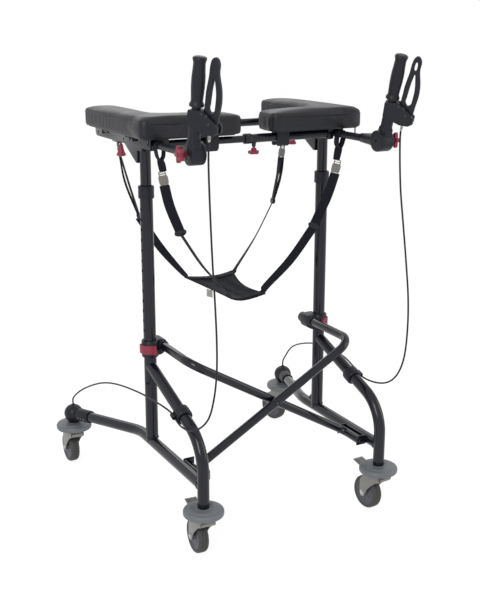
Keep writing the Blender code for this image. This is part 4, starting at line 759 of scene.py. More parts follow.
def brace(which):
    """A tube that slopes from side to side, with bent legs, and its pivot pins with hex heads."""
    way = 1 if which == "front" else -1
    y = BRACE_Y[which]
    top, low = way * PIVOT_HALF, -way * PIVOT_HALF
    corners = [(top, POST_Y + 0.028, PIVOT_HIGH_Z), (top, y, PIVOT_HIGH_Z), (low, y, PIVOT_LOW_Z),
               (low, BRACE_FRONT_Y, PIVOT_LOW_Z)]
    shape = tube(bmesh.new(), rounded_path(corners, [0.045, 0.024]), BRACE_RADIUS, 32)
    # Each pin's X and Z, and along Y its rear end, its front end and the foot of its head
    pins = [(low, PIVOT_LOW_Z, BRACE_Y["rear"] + 0.0181, BRACE_FRONT_Y - 0.0066, BRACE_FRONT_Y - 0.0056)]
    if which == "front":
        pins.append((0, (PIVOT_LOW_Z + PIVOT_HIGH_Z) / 2, BRACE_Y["rear"] + 0.0145, y - 0.0145, y - 0.0113))
    for x, z, rear, front, head in pins:
        tube(shape, [(x, rear, z), (x, front, z)], PIN_RADIUS, 20)
        turned(shape, mm((7.4, 0), (7.4, 2.8), (6, 4)), turned_about((x, head, z), (0, -1, 0)), 6)
    piece("brace_" + which, shape, "cross_brace_" + which)


def clamp(side, word):
    """Collar that slides on the post, with the boss and the lug for the brace's upper leg."""
    x, y = side * POST_HALF, POST_Y + 0.009
    ring = mirrored(mm((17.3, -23), (21.2, -23), (22.3, -21.5), (22.3, -14), (22.9, -13)))
    shape = lathe(bmesh.new(), ring, post_place(side, CLAMP_Z), 44)
    boss = mm((12, -33), (13.6, -33), (14.5, -31.8), (14.5, 31.8), (13.6, 33), (4, 33), (4, 20), (12, 20))
    lathe(shape, boss, turned_about((side * PIVOT_HALF, y, PIVOT_HIGH_Z), (0, 1, 0)))
    lug = mm(
        (262, 444.5), (238, 445.5), (223.5, 453), (219.5, 464), (219.5, 478), (224.5, 487), (238, 488.8), (262, 488.8))
    lug = plate(bmesh.new(), rounded([(side * u, z) for u, z in lug], 0.008), 0.020, front_view(y), 0.0016)
    join(shape, carve(lug, tube(bmesh.new(), [(x, POST_Y, 0.43), (x, POST_Y, 0.50)], 0.0176, 40)))
    piece("clamp_" + word, shape, "brace_clamp_" + word)


def latch(side, word):
    """Curved red quick release band, thicker at its finger end."""
    middle, half_turn, steps = (-35.0 if side > 0 else 215.0), 62, 30
    rim, bore = [], []
    for i in range(steps + 1):
        share = i / steps
        angle = math.radians(middle + half_turn * (2 * share - 1))
        finger = share if side < 0 else 1 - share
        swell = 0.0012 * max(0.0, 1 - abs(finger - 0.06) / 0.16)
        for line, radius in ((rim, BAND_OUTER + swell), (bore, BAND_INNER)):
            line.append(polar(radius, angle))
    shape = plate(bmesh.new(), rim + bore[::-1], 0.012, post_place(side, CLAMP_Z), 0.0010)
    x, y = side * LATCH_PIN[0], LATCH_PIN[1]
    tube(shape, [(x, y, CLAMP_Z - 0.012), (x, y, CLAMP_Z + 0.012)], 0.0042, 20)
    piece("latch_" + word, shape, "clamp_latch_" + word)


# Top frames

def top_frame(side, word):
    """Inner post and channel, with the channel's screws."""
    shape = refined("top_frame_" + word, 0.0007, 42.0)
    for along in (-0.055, -0.015, 0.060, 0.100, 0.250, 0.285):
        bolt(shape, (side * (POST_HALF + 0.0175), POST_Y + along, 1.0105), (side, 0, 0), 0.0030, 0.0012, 18)
    piece("top_" + word, shape, "top_frame_" + word, angle=42.0)


def crossbar(which):
    """Inner tube and sleeve of a telescoping crossbar. The front one has the neck of the width knob."""
    y = BAR_Y[which]
    shape = tube(bmesh.new(), [(-BAR_REACH, y, BAR_Z), (0.026, y, BAR_Z)], BAR_RADIUS, 32)
    piece("bar_tube_" + which, shape, "crossbar_tube_" + which)
    sleeve = mm((9.8, 0), (12.8, 0), (13.6, 1.2), (13.6, 17.8), (12.8, 19), (11.3, 19.5), (11.3, 262.2), (9.8, 262.2))
    shape = lathe(bmesh.new(), sleeve, turned_about((-0.016, y, BAR_Z), (1, 0, 0)), 36)
    if which == "front":
        neck = mm((0, -8), (7.6, -8.5), (7.4, -10.5), (5.8, -14), (5, -20.7), (4.2, -21.5), (0, -21.5))
        lathe(shape, neck, at(WIDTH_KNOB_X, y, BAR_Z), 28)
    piece("bar_sleeve_" + which, shape, "crossbar_sleeve_" + which)


# Knobs

def star(radius, thick, depth, dome=0.0010):
    """A knob head with five lobes and rounded edges, from local height 0 to its thickness."""
    shape = bmesh.new()
    lobes = 5
    low = mm((0, -2.24), (0.56, -0.64), (1.6, 0))
    rings = []
    for z, grow in [*low, *[(thick - z, grow) for z, grow in reversed(low)]]:
        rings.append([])
        for angle in full_turn(90):
            reach = radius * (1 - depth * (0.5 - 0.5 * math.cos(lobes * angle)) ** 0.8) + grow
            rings[-1].append(shape.verts.new((*polar(reach, angle), z)))
    skin(shape, rings, ends=False)
    for ring, z in ((rings[0], -dome), (rings[-1], thick)):
        centre = shape.verts.new((0, 0, z))
        for a, b in zip(ring, ring[1:] + ring[:1]):
            shape.faces.new((a, b, centre))
    return shape


def knob(name, shape, screw, place, node):
    """Adds a knob's screw, between two local heights, and puts the knob in its place."""
    tube(shape, [above(z) for z in screw], 0.003, 14)
    bmesh.ops.transform(shape, matrix=place, verts=shape.verts)
    piece("knob_" + name, shape, node)


def width_knob():
    shape = turned(star(0.0150, 0.0085, 0.20), mm((9.5, 8), (7, 11.5), (5.6, 16)), None, 28)
    place = at(WIDTH_KNOB_X, BAR_Y["front"], BAR_Z - BAR_RADIUS - 0.031)
    knob("width", shape, (0.014, 0.030), place, "width_knob")


def reach_knob(side, word):
    """Bell shaped knob: a flared foot with a long tapering neck."""
    bell = mm((10.5, 0), (12.5, 1.2), (12.8, 3.5), (11.2, 6.5), (8.5, 12.5), (6.6, 20), (5.5, 27.5), (4.8, 30))
    place = at(side * POST_HALF, CLAMP_KNOB_Y, ARM_Z - ARM_RADIUS - 0.045)
    knob("reach_" + word, turned(bmesh.new(), bell), (0.028, 0.044), place, "reach_knob_" + word)


def tilt_knob(side, word):
    shape = turned(star(0.0205, 0.0105, 0.42, 0.0016), mm((6.2, -1.3), (6.2, -2.4), (4.8, -3)), None, 28)
    turned(shape, mm((9, 10), (6.6, 14), (5.6, 23)), None, 32)
    place = turned_about((side * (HUB_OUTER_X + 0.0245), HUB_Y, HUB_Z), (-side, 0, 0))
    knob("tilt_" + word, shape, (0.022, 0.0317), place, "tilt_knob_" + word)


# Handles

def hub_place(side, x):
    return turned_about((side * x, HUB_Y, HUB_Z), (side, 0, 0))


def tilt_place(side):
    return at(side * POST_HALF, HUB_Y, HUB_Z) @ spun(HANDLE_TILT[side], "X")


def handle_place(side):
    return tilt_place(side) @ spun(LEVER_TURN[side] - 90.0, "Z")


def arm(side, word):
    """Arm tube, the cone that widens to the tilt joint, and the joint's fixed half."""
    x = side * POST_HALF
    shape = tube(bmesh.new(), [(x, ARM_REAR_Y, ARM_Z), (x, HUB_Y + 0.072, ARM_Z)], ARM_RADIUS, 32)
    runs = mm((93, 9.8), (92, 11.8), (62, 14), (37, 16.6), (12, 19.5))
    points = [(x - side * 0.00075 * i, HUB_Y + run[0], ARM_Z + 0.0006 * i) for i, run in enumerate(runs)]
    cone = tube(bmesh.new(), points, [run[1] for run in runs], 40)
    pocket = turned(bmesh.new(), mm((27.4, -0.3), (27.4, 50)), hub_place(side, HUB_SPLIT_X), 64)
    join(shape, carve(cone, pocket))
    puck = mm(
        (3, 4.5), (3.4, 0), (12, 0), (12.8, 1), (21.5, 1), (22.6, 0), (24.6, 0), (26.2, 0.7), (26.8, 2.2), (26.8, 7.1))
    turned(shape, puck, hub_place(side, HUB_INNER_X), 56)
    piece("arm_" + word, shape, "arm_tube_" + word)


def hub(side, word):
    """Turning half of the tilt joint with its flared stem and the neck under the grip."""
    puck = mm((26.4, 0), (26.8, 0.5), (26.8, 25.7), (25.6, 28.7), (22.6, 30.2), (13.5, 30.2), (12.8, 29))
    shape = turned(bmesh.new(), puck, hub_place(side, HUB_SPLIT_X + HUB_GAP), 56)
    place = tilt_place(side)
    shift = side * 0.0004
    stem = mm((0, 17.8), (12, 17.6), (20, 17), (28, 15.8), (36, 15), (46, 14.8), (65.5, 14.8))
    tube(shape, moved(place, *[(shift, 0, z) for z, r in stem]), [r for z, r in stem], 48)
    fillet = mm((25.5, 8), (20.5, 16.5), (17.2, 26), (15.2, 38), (0, 38), (0, 8))
    for way in (-1, 1):
        outline = rounded([(way * y, z) for y, z in fillet], 0.006)
        plate(shape, outline, 0.0112, place @ side_view(shift), 0.0030)
    tube(shape, moved(handle_place(side), above(0.055), above(GRIP_TOP - 0.012)), 0.0108, 32)
    piece("hub_" + word, shape, "handle_hub_" + word)


def grip(side, word):
    profile = mm(
        (0, 111.7), (8, 111.6), (12.8, 110.9), (15.2, 109.5), (16.6, 107.1), (16, 104.1), (14.8, 100.5), (14, 95.5),
        (14.7, 80.5), (15.8, 67.25), (16, 55.25), (15.7, 41.25), (14.6, 24), (13.9, 13.5), (14.6, 9.8), (16.4, 6.8),
        (17.3, 4.2), (17.2, 1.4), (16.4, 0), (0, 0))
    shape = lathe(bmesh.new(), profile, handle_place(side) @ at(0, 0, GRIP_BOTTOM), 56)
    piece("grip_rubber_" + word, shape, "grip_" + word, angle=60.0)


HOUSING_BACK = mm((53, 54.5), (32, 53), (15, 57.5), (-2, 62), (-13.5, 66.5), (-15, 103))
HOUSING_CHEEK = HOUSING_BACK + mm((20, 106), (48, 88.5), (63, 76), (63, 62))
HOUSING_CORE = HOUSING_BACK + mm((18.8, 105.6), (18.8, 67.8), (33, 61.2), (63, 61.2), (63, 61))


def housing(side, word):
    """Brake body: two cheeks round the lever, rivets, the lever's pin and the cable adjuster."""
    node = "lever_housing_" + word
    place = handle_place(side)
    shape, rivets = bmesh.new(), bmesh.new()
    for way in (-1, 1):
        plate(shape, rounded(HOUSING_CHEEK, 0.0035), 0.00455, place @ front_view(way * 0.01045), 0.0011)
        facing = aimed(place, 0, way, 0)
        for u, w, radius in ((0.0210, 0.0990, 0.0034), (0.0333, 0.0955, 0.0034), (*LEVER_PIVOT, 0.0038)):
            rim = [(radius + grow, z) for grow, z in mm((1.7, 0), (1.5, 0.5), (0.6, 0.6))]
            turned(shape, rim, turned_about(place @ Vector((u, way * 0.0150, w)), facing), 24)
            bolt(rivets, place @ Vector((u, way * 0.0154, w)), facing, radius, 0.0010)
    plate(shape, rounded(HOUSING_CORE, 0.0025), 0.0066, place @ front_view(0), 0.0004)
    piece("housing_" + word, shape, node)
    screw = mm((5.6, 0), (5.6, 4), (5, 4.6), (3.6, 4.8))
    for base in (1.6 * i for i in range(5)):
        screw += mm((3.6, 5.6 + base), (3.1, 6.2 + base), (3.1, 6.6 + base), (3.6, 7.1 + base))
    screw += mm((3.6, 14.5), (2.9, 18.5))
    spot = turned_about(place @ Vector((0.038, 0, 0.0545)), aimed(place, 0, 0, -1))
    piece("adjuster_" + word, turned(bmesh.new(), screw, spot, 28), node, BRIGHT)
    piece("rivets_" + word, rivets, node, RIVET)


LEVER_OUTER = mm(
    (34.5, 70), (33, 87), (25, 101), (22.2, 110.5), (22.8, 129), (23.2, 147), (25.8, 169), (27.8, 184), (29.2, 209),
    (32.5, 221), (39, 226.5), (46.5, 223.5), (51.5, 213), (51.5, 193), (60, 157), (62, 129), (59.5, 103.5), (58, 83),
    (54.5, 71), (44, 65.5))
LEVER_GAP = mm(
    (41.5, 182), (37.2, 160), (35.8, 145), (34.3, 122), (33.5, 111), (40.1, 102), (47, 107), (48.7, 120), (48.8, 146),
    (44.8, 170))
LEVER_SLOT = mm((37, 193.5), (37.8, 208.5), (40.2, 212.5), (42.8, 208.5), (42.5, 193.5), (40, 190))


def lever(side, word):
    """Brake lever with its finger opening, and on the right the slot that the photograph shows."""
    place = handle_place(side)
    loops = []
    for outline in (LEVER_OUTER, LEVER_GAP, LEVER_SLOT)[:3 if side > 0 else 2]:
        loops.append([(p.x, p.y) for p in smooth_curve([(*p, 0) for p in outline], 4, closed=True)])
    shape = plate(bmesh.new(), loops, 0.0055, place @ front_view(0), 0.0019)
    u, w = LEVER_PIVOT
    tube(shape, moved(place, (u, -0.0138, w), (u, 0.0138, w)), 0.003, 20)
    piece("lever_" + word, shape, "brake_lever_" + word)


# Forearm pads

SEAM_Z = PAD_TOP_Z - 0.0075
PAD_SKIRT_Z = PAD_BOTTOM_Z - 0.0055
# How much larger than its solid each cover is: outside, inside and behind
PAD_GROWN = {-1: (0.004, 0.010, 0.011), 1: (0.0, 0.003, 0.003)}
FOLDS_REAR = (-0.30, 0.02)
FOLDS_FRONT = (0.060, -0.135)


def pad_outline(inset, side, steps=8):
    """A pad's L in plan with rounded corners, drawn as the right pad, counter clockwise."""
    outside, inside, behind = PAD_GROWN[side]
    out, inn = PAD_OUTER + outside - inset, PAD_INNER - inside + inset
    front, rear = PAD_FRONT_Y + inset, PAD_REAR_Y + behind - inset
    arm_x, limb = PAD_OUTER - 0.097 + inset, PAD_FRONT_Y + 0.106 - inset
    corners = [(inn, front), (out, front), (out, rear), (arm_x, rear), (arm_x, limb), (inn, limb)]
    points = []
    for i, corner in enumerate(corners):
        radius, turn = (0.075, steps * 3) if corner == (arm_x, limb) else (0.021 - inset / 2, steps)
        around = [(*corners[(i + k) % len(corners)], 0) for k in (-1, 0, 1)]
        points += [(p.x, p.y) for p in arc_corner(*around, radius, turn)]
    return points


def swollen(mesh, pressure, cap, frames=20):
    """Inflates a closed mesh as cloth, with no point moved further than the cap."""
    rest = spots_of(mesh)
    holder = linked("swell", mesh)
    cloth = holder.modifiers.new("cloth", "CLOTH")
    tuned(cloth.settings, use_pressure=True, uniform_pressure_force=pressure, quality=4)
    cloth.settings.effector_weights.gravity = 0.0
    tuned(cloth.point_cache, frame_start=1, frame_end=frames)
    for number in range(1, frames + 1):
        bpy.context.scene.frame_set(number)
    result = applied(holder)
    bpy.context.scene.frame_set(1)
    moves = spots_of(result) - rest
    length = np.linalg.norm(moves, axis=1)
    share = np.minimum(1.0, cap / np.maximum(length, 1e-9))
    return move_to(result, rest + moves * share[:, None])


def pad(side, word):
    """Foam cushion under black vinyl: swollen as cloth, then its seam, puckers and flat underside."""
    low, top = PAD_SKIRT_Z, PAD_TOP_Z
    levels = [(low + 0.0006, 0.0060), (low + 0.003, 0.0042)]
    levels += [(low + (top - low) * k / 8, 0.0036) for k in range(1, 8)]
    levels += [(top - 0.002, 0.0060), (top - 0.0005, 0.011), (top + 0.0012, 0.020), (top + 0.0022, 0.032)]
    shape = bmesh.new()
    skin(shape, [[shape.verts.new((side * x, y, z)) for x, y in pad_outline(inset, side)] for z, inset in levels])
    holder = linked("remesh", to_mesh(outward(shape), "pad"))
    tuned(holder.modifiers.new("remesh", "REMESH"), mode="VOXEL", voxel_size=0.005)
    mesh = applied(holder)
    mesh = swollen(mesh, pressure=4.0, cap=0.0055)
    holder = linked("smooth", mesh)
    tuned(holder.modifiers.new("relax", "SMOOTH"), iterations=3)
    tuned(holder.modifiers.new("finer", "SUBSURF"), levels=1, render_levels=1)
    mesh = applied(holder)
    sew(mesh, side)
    made = piece("pad_" + word, from_mesh(mesh), "arm_pad_" + word, angle=80.0)
    welt(made, side, word)


def sew(mesh, side):
    """Presses the seam into the wall, adds the puckers of the cover and levels the underside."""
    spots = spots_of(mesh)
    outline = np.array(pad_outline(0.0, side)) * (side, 1)
    run = np.roll(outline, -1, axis=0) - outline
    length = np.linalg.norm(run, axis=1)
    start = np.concatenate([[0], np.cumsum(length)[:-1]])
    flat = spots[:, :2]
    # For each point: its distance to the outline, how far round that is, and the way out
    best = np.full(len(flat), 1e9)
    along = np.zeros(len(flat))
    out = np.zeros((len(flat), 2))
    for a, step, size, begin in zip(outline, run, length, start):
        share = np.clip(((flat - a) @ step) / size ** 2, 0, 1)
        reach = np.linalg.norm(flat - (a + share[:, None] * step), axis=1)
        nearer = reach < best
        best[nearer] = reach[nearer]
        along[nearer] = begin + share[nearer] * size
        out[nearer] = np.array([step[1], -step[0]]) / size * side
    wall = np.clip(1 - best / 0.010, 0, 1)
    z = spots[:, 2]
    seam = np.exp(-((z - SEAM_Z) / 0.0022) ** 2) * wall
    hang = np.clip((SEAM_Z - z) / 0.012, 0, 1) * np.clip((z - PAD_SKIRT_Z) / 0.010, 0, 1)
    slow = 0.5 + 0.5 * np.sin(along / length.sum() * 2 * math.pi * 5 + (1.3 if side > 0 else 0.2))
    folds = np.sin(along * 2 * math.pi / 0.034 + 1.8 * np.sin(along * 31)) * (0.15 + 0.85 * slow ** 2)
    tight = np.sin(along * 2 * math.pi / 0.025 + 1.1 * np.sin(along * 47)) * puckers(spots, side)
    depth = 0.0013 * seam + wall * hang * (0.00035 * folds + 0.0019 * tight)
    spots[:, :2] -= out * depth[:, None]
    spots[:, 2] = np.maximum(z, PAD_SKIRT_Z)
    move_to(mesh, spots)


def puckers(spots, side):
    """How strongly the cover puckers: at the left pad's outer rear and the right pad's inner front."""
    x, y = spots[:, 0], spots[:, 1]
    if side < 0:
        return np.where(x < FOLDS_REAR[0], np.clip((y - FOLDS_REAR[1]) / 0.06, 0, 1), 0.0)
    return np.clip(1.4 - np.hypot(x - FOLDS_FRONT[0], y - FOLDS_FRONT[1]) / 0.06, 0, 1)


def welt(cushion, side, word):
    """The sewn edge that runs round the pad at the seam."""
    mesh = cushion.data
    tree = BVHTree.FromPolygons([v.co for v in mesh.vertices], [list(f.vertices) for f in mesh.polygons])
    points = []
    for x, y in pad_outline(-0.010, side, 10):
        spot, normal = tree.find_nearest(Vector((side * x, y, SEAM_Z)))[:2]
        points.append(spot + normal * 0.0003)
    loop = smooth_curve(points, 2, closed=True)
    shape = bmesh.new()
    rings = []
    for i, point in enumerate(loop):
        level = (loop[(i + 1) % len(loop)] - loop[i - 1]).cross(above(1)).normalized()
        rings.append(circle(shape, point, level, above(1), 0.0009, 8))
    piece("welt_" + word, skin(shape, rings, loop=True), "arm_pad_" + word, replaces=False)


# The middle of each pad's inner saddle, and the saddles' underside
SADDLE_X = {-1: -0.114, 1: 0.093}
SADDLE_Z = 0.983


def board(side, word):
    """Pad board with its saddles, whose lower corners are rounded, and the stop pin under the front corner."""
    cutter = bmesh.new()
    low, radius = SADDLE_Z, 0.012
    for way in (-1, 1):
        x = SADDLE_X[side] + way * 0.018
        loop = []
        for angle in (math.radians(15 * k) for k in range(7)):
            loop.append((x - way * radius * (1 - math.sin(angle)), low + radius * (1 - math.cos(angle))))
        loop += [(x + way * 0.002, low + radius), (x + way * 0.002, low - 0.002), (x - way * radius, low - 0.002)]
        plate(cutter, loop, 0.5, front_view(0), 0.00002)
    shape = carve(refined("pad_base_" + word, 0.0), cutter)
    tube(shape, [(side * 0.300, -0.134, z) for z in (1.0290, 1.0130)], 0.0017, 14)
    piece("board_" + word, shape, "pad_base_" + word, angle=30.0)


def small_parts(side, word):
    """Cable clip with a broad band round the leg, brake shoe and snap button."""
    start = Vector((side * POST_HALF, POST_Y, LEG_TOP_Z))
    run = Vector((side * POST_HALF, FRONT_Y, LEG_CORNER_Z)) - start
    centre = start + run * ((CLIP_Y[side] - POST_Y) / run.y)
    profile = mirrored(mm((15, -15), (19.6, -15), (21.6, -13.5), (22.2, -10)))
    shape = lathe(refined("cable_clip_" + word, 0.0006, 45.0), profile, turned_about(centre, run), 44)
    piece("clip_" + word, shape, "cable_clip_" + word, angle=45.0)
    piece("shoe_" + word, refined("brake_shoe_" + word), "brake_shoe_" + word)
    piece("button_" + word, refined("snap_button_" + word, 0.0005, 45.0), "snap_button_" + word, BRIGHT)


# Harness

STRAP_SECTION = mirrored([(-0.5, -0.22), (-0.47, -0.46), (-0.40, -0.5), (0.40, -0.5), (0.47, -0.46), (0.5, -0.22)])


def band(shape, points, widths, thick, across):
    """Adds a strap with rounded edges. widths and across, its width's direction, may be lists, one for each point."""
    rows = []
    for i, point in enumerate(points):
        run = direction(points, i)
        wide = across[i] if isinstance(across, list) else across
        wide = (wide - run * wide.dot(run)).normalized()
        width = widths[i] if isinstance(widths, list) else widths
        flat = run.cross(wide)
        rows.append([shape.verts.new(point + wide * (u * width) + flat * (v * thick)) for u, v in STRAP_SECTION])
    return skin(shape, rows)


def lay(shape, knots, per_span, widths, thick):
    """Adds a strap along (place, width direction) knots. widths are those of its two ends."""
    places = smooth_curve([place for place, way in knots], per_span)
    last = len(places) - 1
    across = []
    for i in range(last + 1):
        k = min(i // per_span, len(knots) - 2)
        across.append(knots[k][1].lerp(knots[k + 1][1], i / per_span - k))
    sizes = [widths[0] + (widths[1] - widths[0]) * i / last for i in range(last + 1)]
    return band(shape, places, sizes, thick, across)


def grid(columns, rows, spot):
    """A sheet of faces. spot gives its points from the shares along its two sides."""
    shape = bmesh.new()
    lines = [[shape.verts.new(spot(i / columns, j / rows)) for j in range(rows + 1)] for i in range(columns + 1)]
    return outward(skin(shape, lines, around=False, ends=False))


SEAT_REAR = Vector((0.077, POST_Y + 0.179, 0.597))
SEAT_FRONT = Vector((0.052, POST_Y - 0.059, 0.589))


def seat_point(u, v):
    """Point of the seat: u from left to right and v from front to rear, both 0 to 1."""
    half, y, z = SEAT_FRONT + (SEAT_REAR - SEAT_FRONT) * v
    half -= 0.016 * math.sin(math.pi * v)
    bow = 0.022 * math.sin(math.pi * u) * (1 - 2 * v)
    sag = 0.016 * math.sin(math.pi * u) * (1 - 0.85 * v) + 0.008 * math.sin(math.pi * v)
    return Vector(((2 * u - 1) * half, y + bow, z - sag))


def stuffed_point(u, v):
    """Point of the seat's cloth, with its sewn channels and a slight ripple."""
    channel = abs(math.sin(math.pi * v * 5)) ** 0.35 * math.sin(math.pi * min(max(u, 0.02), 0.98)) ** 0.5
    ripple = math.sin(19 * u + 7 * v) * math.sin(math.pi * v)
    return seat_point(u, v) + above(0.0012 * channel + 0.0010 * ripple)


def seat():
    """The sling's padded cloth and the binding round it."""
    columns, rows = 36, 44
    shape = grid(columns, rows, stuffed_point)
    area = sum(face.calc_area() for face in shape.faces)
    holder = linked("seat", to_mesh(shape, "seat"))
    tuned(holder.modifiers.new("thick", "SOLIDIFY"), thickness=0.0040, offset=0.0)
    made = piece("sling_seat", from_mesh(applied(holder)), "harness", CLOTH, angle=70.0)
    binding = bmesh.new()
    for share in (0.0, 1.0):
        edge = [seat_point(share, j / rows) for j in range(rows + 1)]
        tube(binding, edge, 0.0024, 10)
        tube(binding, [seat_point(i / columns, share) for i in range(columns + 1)], 0.0024, 10)
    hem = piece("sling_binding", binding, "harness", CLOTH)
    return [made, hem]


FACING = (0.88, -0.47, 0)
EDGEWISE = (0.47, 0.88, 0)
ALONG_Y = Vector((0, 1, 0))
# Where each strap's buckle and slider are, and how the buckle, the doubled webbing and the lower run are turned
STRAPS = {
    (-1, "front"): ((-0.2525, -0.113, 0.924), (-0.199, -0.091, 0.783), FACING, FACING, ALONG_Y),
    (1, "front"): ((0.2555, -0.113, 0.919), (0.2025, -0.091, 0.763), FACING, FACING, (0.80, -0.60, 0)),
    (-1, "rear"): ((-0.2520, 0.180, 0.962), (-0.212, 0.152, 0.787), EDGEWISE, (0.50, 0.86, 0), FACING),
    (1, "rear"): ((0.238, 0.147, 0.932), (0.212, 0.151, 0.793), (-0.12, 0.99, 0), (0.28, 0.96, 0), (0.50, 0.86, 0)),
}
LOOP_WIDTH = 0.0235
HANGER_WIDTH = 0.018
REAR_WIDTH = 0.020
WEBBING_WIDTH = 0.025
RUN_WIDTH = 0.0195
RUN_TOP_WIDTH = 0.024


def strap_top(shape, side, end, top, face):
    """In front a loop over the arm tube with a twisted hanger, at the rear two plies from the channel."""
    if end == "front":
        anchor = Vector((side * POST_HALF, -0.118, ARM_Z))
        joint = Vector((side * 0.262, -0.116, 0.976))
        angles = [math.radians(-100 + 20 * i) for i in range(11)]
        bow = [anchor + Vector((math.sin(a), 0, math.cos(a))) * (ARM_RADIUS + 0.0014) for a in angles]
        legs = [joint + Vector(p) for p in mm((-3, 0, 0), (-8.5, 0, 10), (8.5, 0, 10), (3, 0, 0))]
        loop = [*legs[:2], *bow, *legs[2:]]
        lay(shape, [(p, ALONG_Y) for p in loop], 3, (LOOP_WIDTH, LOOP_WIDTH), 0.0015)
        hanger = [(joint + above(0.003), Vector((0.25, -0.95, 0))), (joint.lerp(top, 0.45), Vector((0.70, -0.70, 0))),
                  (top - above(0.004), Vector(FACING))]
        lay(shape, hanger, 6, (LOOP_WIDTH, HANGER_WIDTH), 0.0030)
        return
    high = Vector((side * 0.2600, 0.176 if side > 0 else 0.192, CHANNEL_BOTTOM_Z + 0.001))
    for lean in (-1, 1):
        spread = Vector((lean * 0.0012, 0, 0))
        middle = top.lerp(high, 0.5) + spread * 2
        ply = [(top + spread - above(0.004), face), (middle, face), (high + spread * 5, ALONG_Y)]
        lay(shape, ply, 8, (REAR_WIDTH, REAR_WIDTH), 0.0014)


def strap(side, end, tag):
    """One of the four straps: a loop at the top, a buckle, doubled webbing, a slider and the lower run."""
    buckle, slider, face, turn, low = (Vector(x) for x in STRAPS[side, end])
    shape = bmesh.new()
    strap_top(shape, side, end, buckle + Vector((side * 0.0010, 0, 0.0275)), face)
    lower = buckle - Vector((side * 0.0015, 0, 0.0150))
    # v is the strap's line across the seat, bulge how far the doubled webbing parts, drop how low the run hangs
    v, gap, bulge, drop = (0.06, EDGEWISE, 0.0030, 0.010) if end == "front" else (0.94, FACING, 0.0046, 0.008)
    for lean in (-1, 1):
        part = Vector(gap) * lean
        belly = lower.lerp(slider, 0.40) + part * bulge + Vector((side * 0.004, 0, 0))
        ply = [(lower + part * 0.0012 + above(0.003), face), (belly, turn), (slider + part * 0.0010, turn)]
        lay(shape, ply, 12, (WEBBING_WIDTH, WEBBING_WIDTH), 0.0018)
    flat = ALONG_Y if low.y > 0 else -ALONG_Y
    lift = above(0.0034)
    inner = [seat_point(0.5 + side * share, v) for share in (0.05, 0.20, 0.34)]
    edge = seat_point(0.5 + side * 0.50, v)
    way = edge + (edge - inner[-1]) * 0.40 + above(0.011)
    middle = way.lerp(slider, 0.5) + Vector((side * 0.003, 0, -drop))
    run = [(p + lift, flat) for p in inner] + [(edge + lift * 0.6, flat), (way, low.lerp(flat, 0.5)), (middle, low)]
    run.append((slider - Vector((side * 0.001, 0, 0.004)), low))
    lay(shape, run, 8, (RUN_WIDTH, RUN_TOP_WIDTH), 0.0020)
    made = piece("strap_" + tag, shape, "harness", WEBBING)
    rise = (lower - slider).normalized()
    return [made, buckle_piece(side, tag, buckle, face, rise), slider_piece(tag, slider, turn, rise)]


def buckle_piece(side, tag, spot, face, rise):
    """Side release buckle: a grey body with an arrow shaped front and two bars above."""
    up = (rise + Vector((side * 0.10, 0, 1))).normalized()
    place = upright(spot, face - up * face.dot(up), up) @ Matrix.Scale(0.88, 4)
    body = symmetric(0.0020, (11.2, -15), (11.2, -11), (13.2, -7), (13.6, 8), (12, 14))
    slot = symmetric(0.0006, (8.8, -13.5), (8.8, -11.8))
    shape = plate(bmesh.new(), [body, slot], 0.0036, place, 0.0009)
    plate(shape, symmetric(0.0020, (8, -8.5), (6, 10.5)), 0.0042, place, 0.0005)
    ladder = symmetric(0.0020, (10.8, 13), (10.4, 27.5))
    gaps = [symmetric(0.0006, (8, low), (8, low + 3.6)) for low in (15.5, 21.5)]
    plate(shape, [ladder, *gaps], 0.0024, place, 0.0006)
    return piece("buckle_" + tag, shape, "harness", BUCKLE)


def slider_piece(tag, spot, face, rise):
    """Dark oval slider that takes up the doubled webbing."""
    oval = [(0.0158 * math.cos(a), 0.0088 * math.sin(a)) for a in full_turn(36)]
    shape = plate(bmesh.new(), oval, 0.0042, upright(spot, face - rise * face.dot(rise), rise), 0.0014)
    return piece("slider_" + tag, shape, "harness", PLASTIC)


def tag_point(u, v):
    curl = 0.003 * math.sin(2.2 * v) + 0.0010 * math.sin(3 * u)
    return Vector((-0.0580 + 0.01275 * u - 0.4 * curl, 0.0480 - 0.01122 * u - curl, 0.5840 - 0.003 * u - 0.021 * v))


def blank_tag():
    """Small blank care tag under the seat's near edge."""
    shape = grid(6, 8, tag_point)
    bmesh.ops.solidify(shape, geom=shape.faces[:], thickness=0.0008)
    return piece("blank_tag", shape, "harness", LABEL, angle=60.0)


def harness():
    made = seat()
    for side, word in SIDES.items():
        for end in ENDS:
            made += strap(side, end, end + "_" + word)
    made.append(blank_tag())
    for item in made:
        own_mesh(item)


def build():
    for side, word in SIDES.items():
        cable(side, word)
    for side, word in SIDES.items():
        for make in (side_frame, collar, rear_socket):
            make(side, word)
        for end in ENDS:
            for make in (bumper, fork, wheel):
                make(side, end, end + "_" + word)
        for make in (pedal, clamp, latch, top_frame, board, reach_knob, tilt_knob):
            make(side, word)
        for make in (arm, hub, grip, housing, lever, pad):
            make(side, word)
    for which in ENDS:
        brace(which)
        crossbar(which)
    width_knob()
    for side, word in SIDES.items():
        small_parts(side, word)
    harness()


build()


# Light and floor

def area_light(name, place, size, power):
    data = bpy.data.lights.new(name, "AREA")
    tuned(data, shape="RECTANGLE", size=size[0], size_y=size[1], energy=power)
    aim = Vector((0, 0, 0.7)) - Vector(place)
    tuned(linked(name, data), location=place, rotation_euler=aim.to_track_quat("-Z", "Y").to_euler())


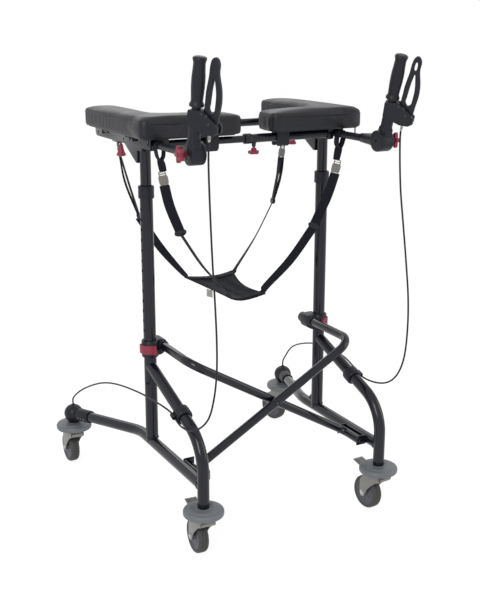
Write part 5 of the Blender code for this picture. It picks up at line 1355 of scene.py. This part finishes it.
def seen(tree):
    """1 for rays of the camera and for mirror and transmission rays, which show the white backdrop."""
    path = add_node(tree, "LightPath")
    value = path.outputs["Is Camera Ray"]
    for kind in ("Is Transmission Ray", "Is Glossy Ray"):
        most = tuned(add_node(tree, "Math"), operation="MAXIMUM")
        tree.links.new(value, most.inputs[0])
        tree.links.new(path.outputs[kind], most.inputs[1])
        value = most.outputs["Value"]
    return value


def floor():
    """A wide pale floor that is white to the camera and keeps the object's shadow."""
    half, z = 14, -0.001
    shape = bmesh.new()
    corners = ((-half, -half), (half, -half), (half, half), (-half, half))
    shape.faces.new([shape.verts.new((x, y, z)) for x, y in corners])
    plane = linked("floor", to_mesh(shape, "floor"))
    made = bpy.data.materials.new("floor_white")
    made.use_nodes = True
    tree = made.node_tree
    tree.nodes.clear()
    link = tree.links.new
    matte = add_node(tree, "BsdfDiffuse", Color=(0.86, 0.86, 0.86, 1))
    glow = add_node(tree, "Emission", Color=(1, 1, 1, 1), Strength=1.40)
    share = tuned(add_node(tree, "Math"), operation="MULTIPLY")
    share.inputs[1].default_value = 0.60
    blend = add_node(tree, "MixShader")
    link(seen(tree), share.inputs[0])
    link(share.outputs["Value"], blend.inputs["Fac"])
    link(matte.outputs["BSDF"], blend.inputs[1])
    link(glow.outputs["Emission"], blend.inputs[2])
    link(blend.outputs["Shader"], add_node(tree, "OutputMaterial").inputs["Surface"])
    dress(plane, made)


def world():
    """Even grey light on the object, and white where a ray sees the backdrop."""
    sky = bpy.data.worlds.new("studio")
    bpy.context.scene.world = sky
    sky.use_nodes = True
    tree = sky.node_tree
    back = tree.nodes["Background"]
    back.inputs["Color"].default_value = (1, 1, 1, 1)
    level = add_node(tree, "MapRange", To_Min=0.45, To_Max=1.0)
    tree.links.new(seen(tree), level.inputs["Value"])
    tree.links.new(level.outputs["Result"], back.inputs["Strength"])


def studio():
    area_light("key", (-2.6, -2.4, 2.6), (1.4, 2.2), 60)
    area_light("fill", (2.8, -1.6, 1.6), (1.2, 2.4), 18)
    area_light("back", (0.6, 2.8, 2.4), (2.4, 1.2), 13)
    world()
    floor()
    bpy.context.scene.view_settings.view_transform = "Standard"


studio()
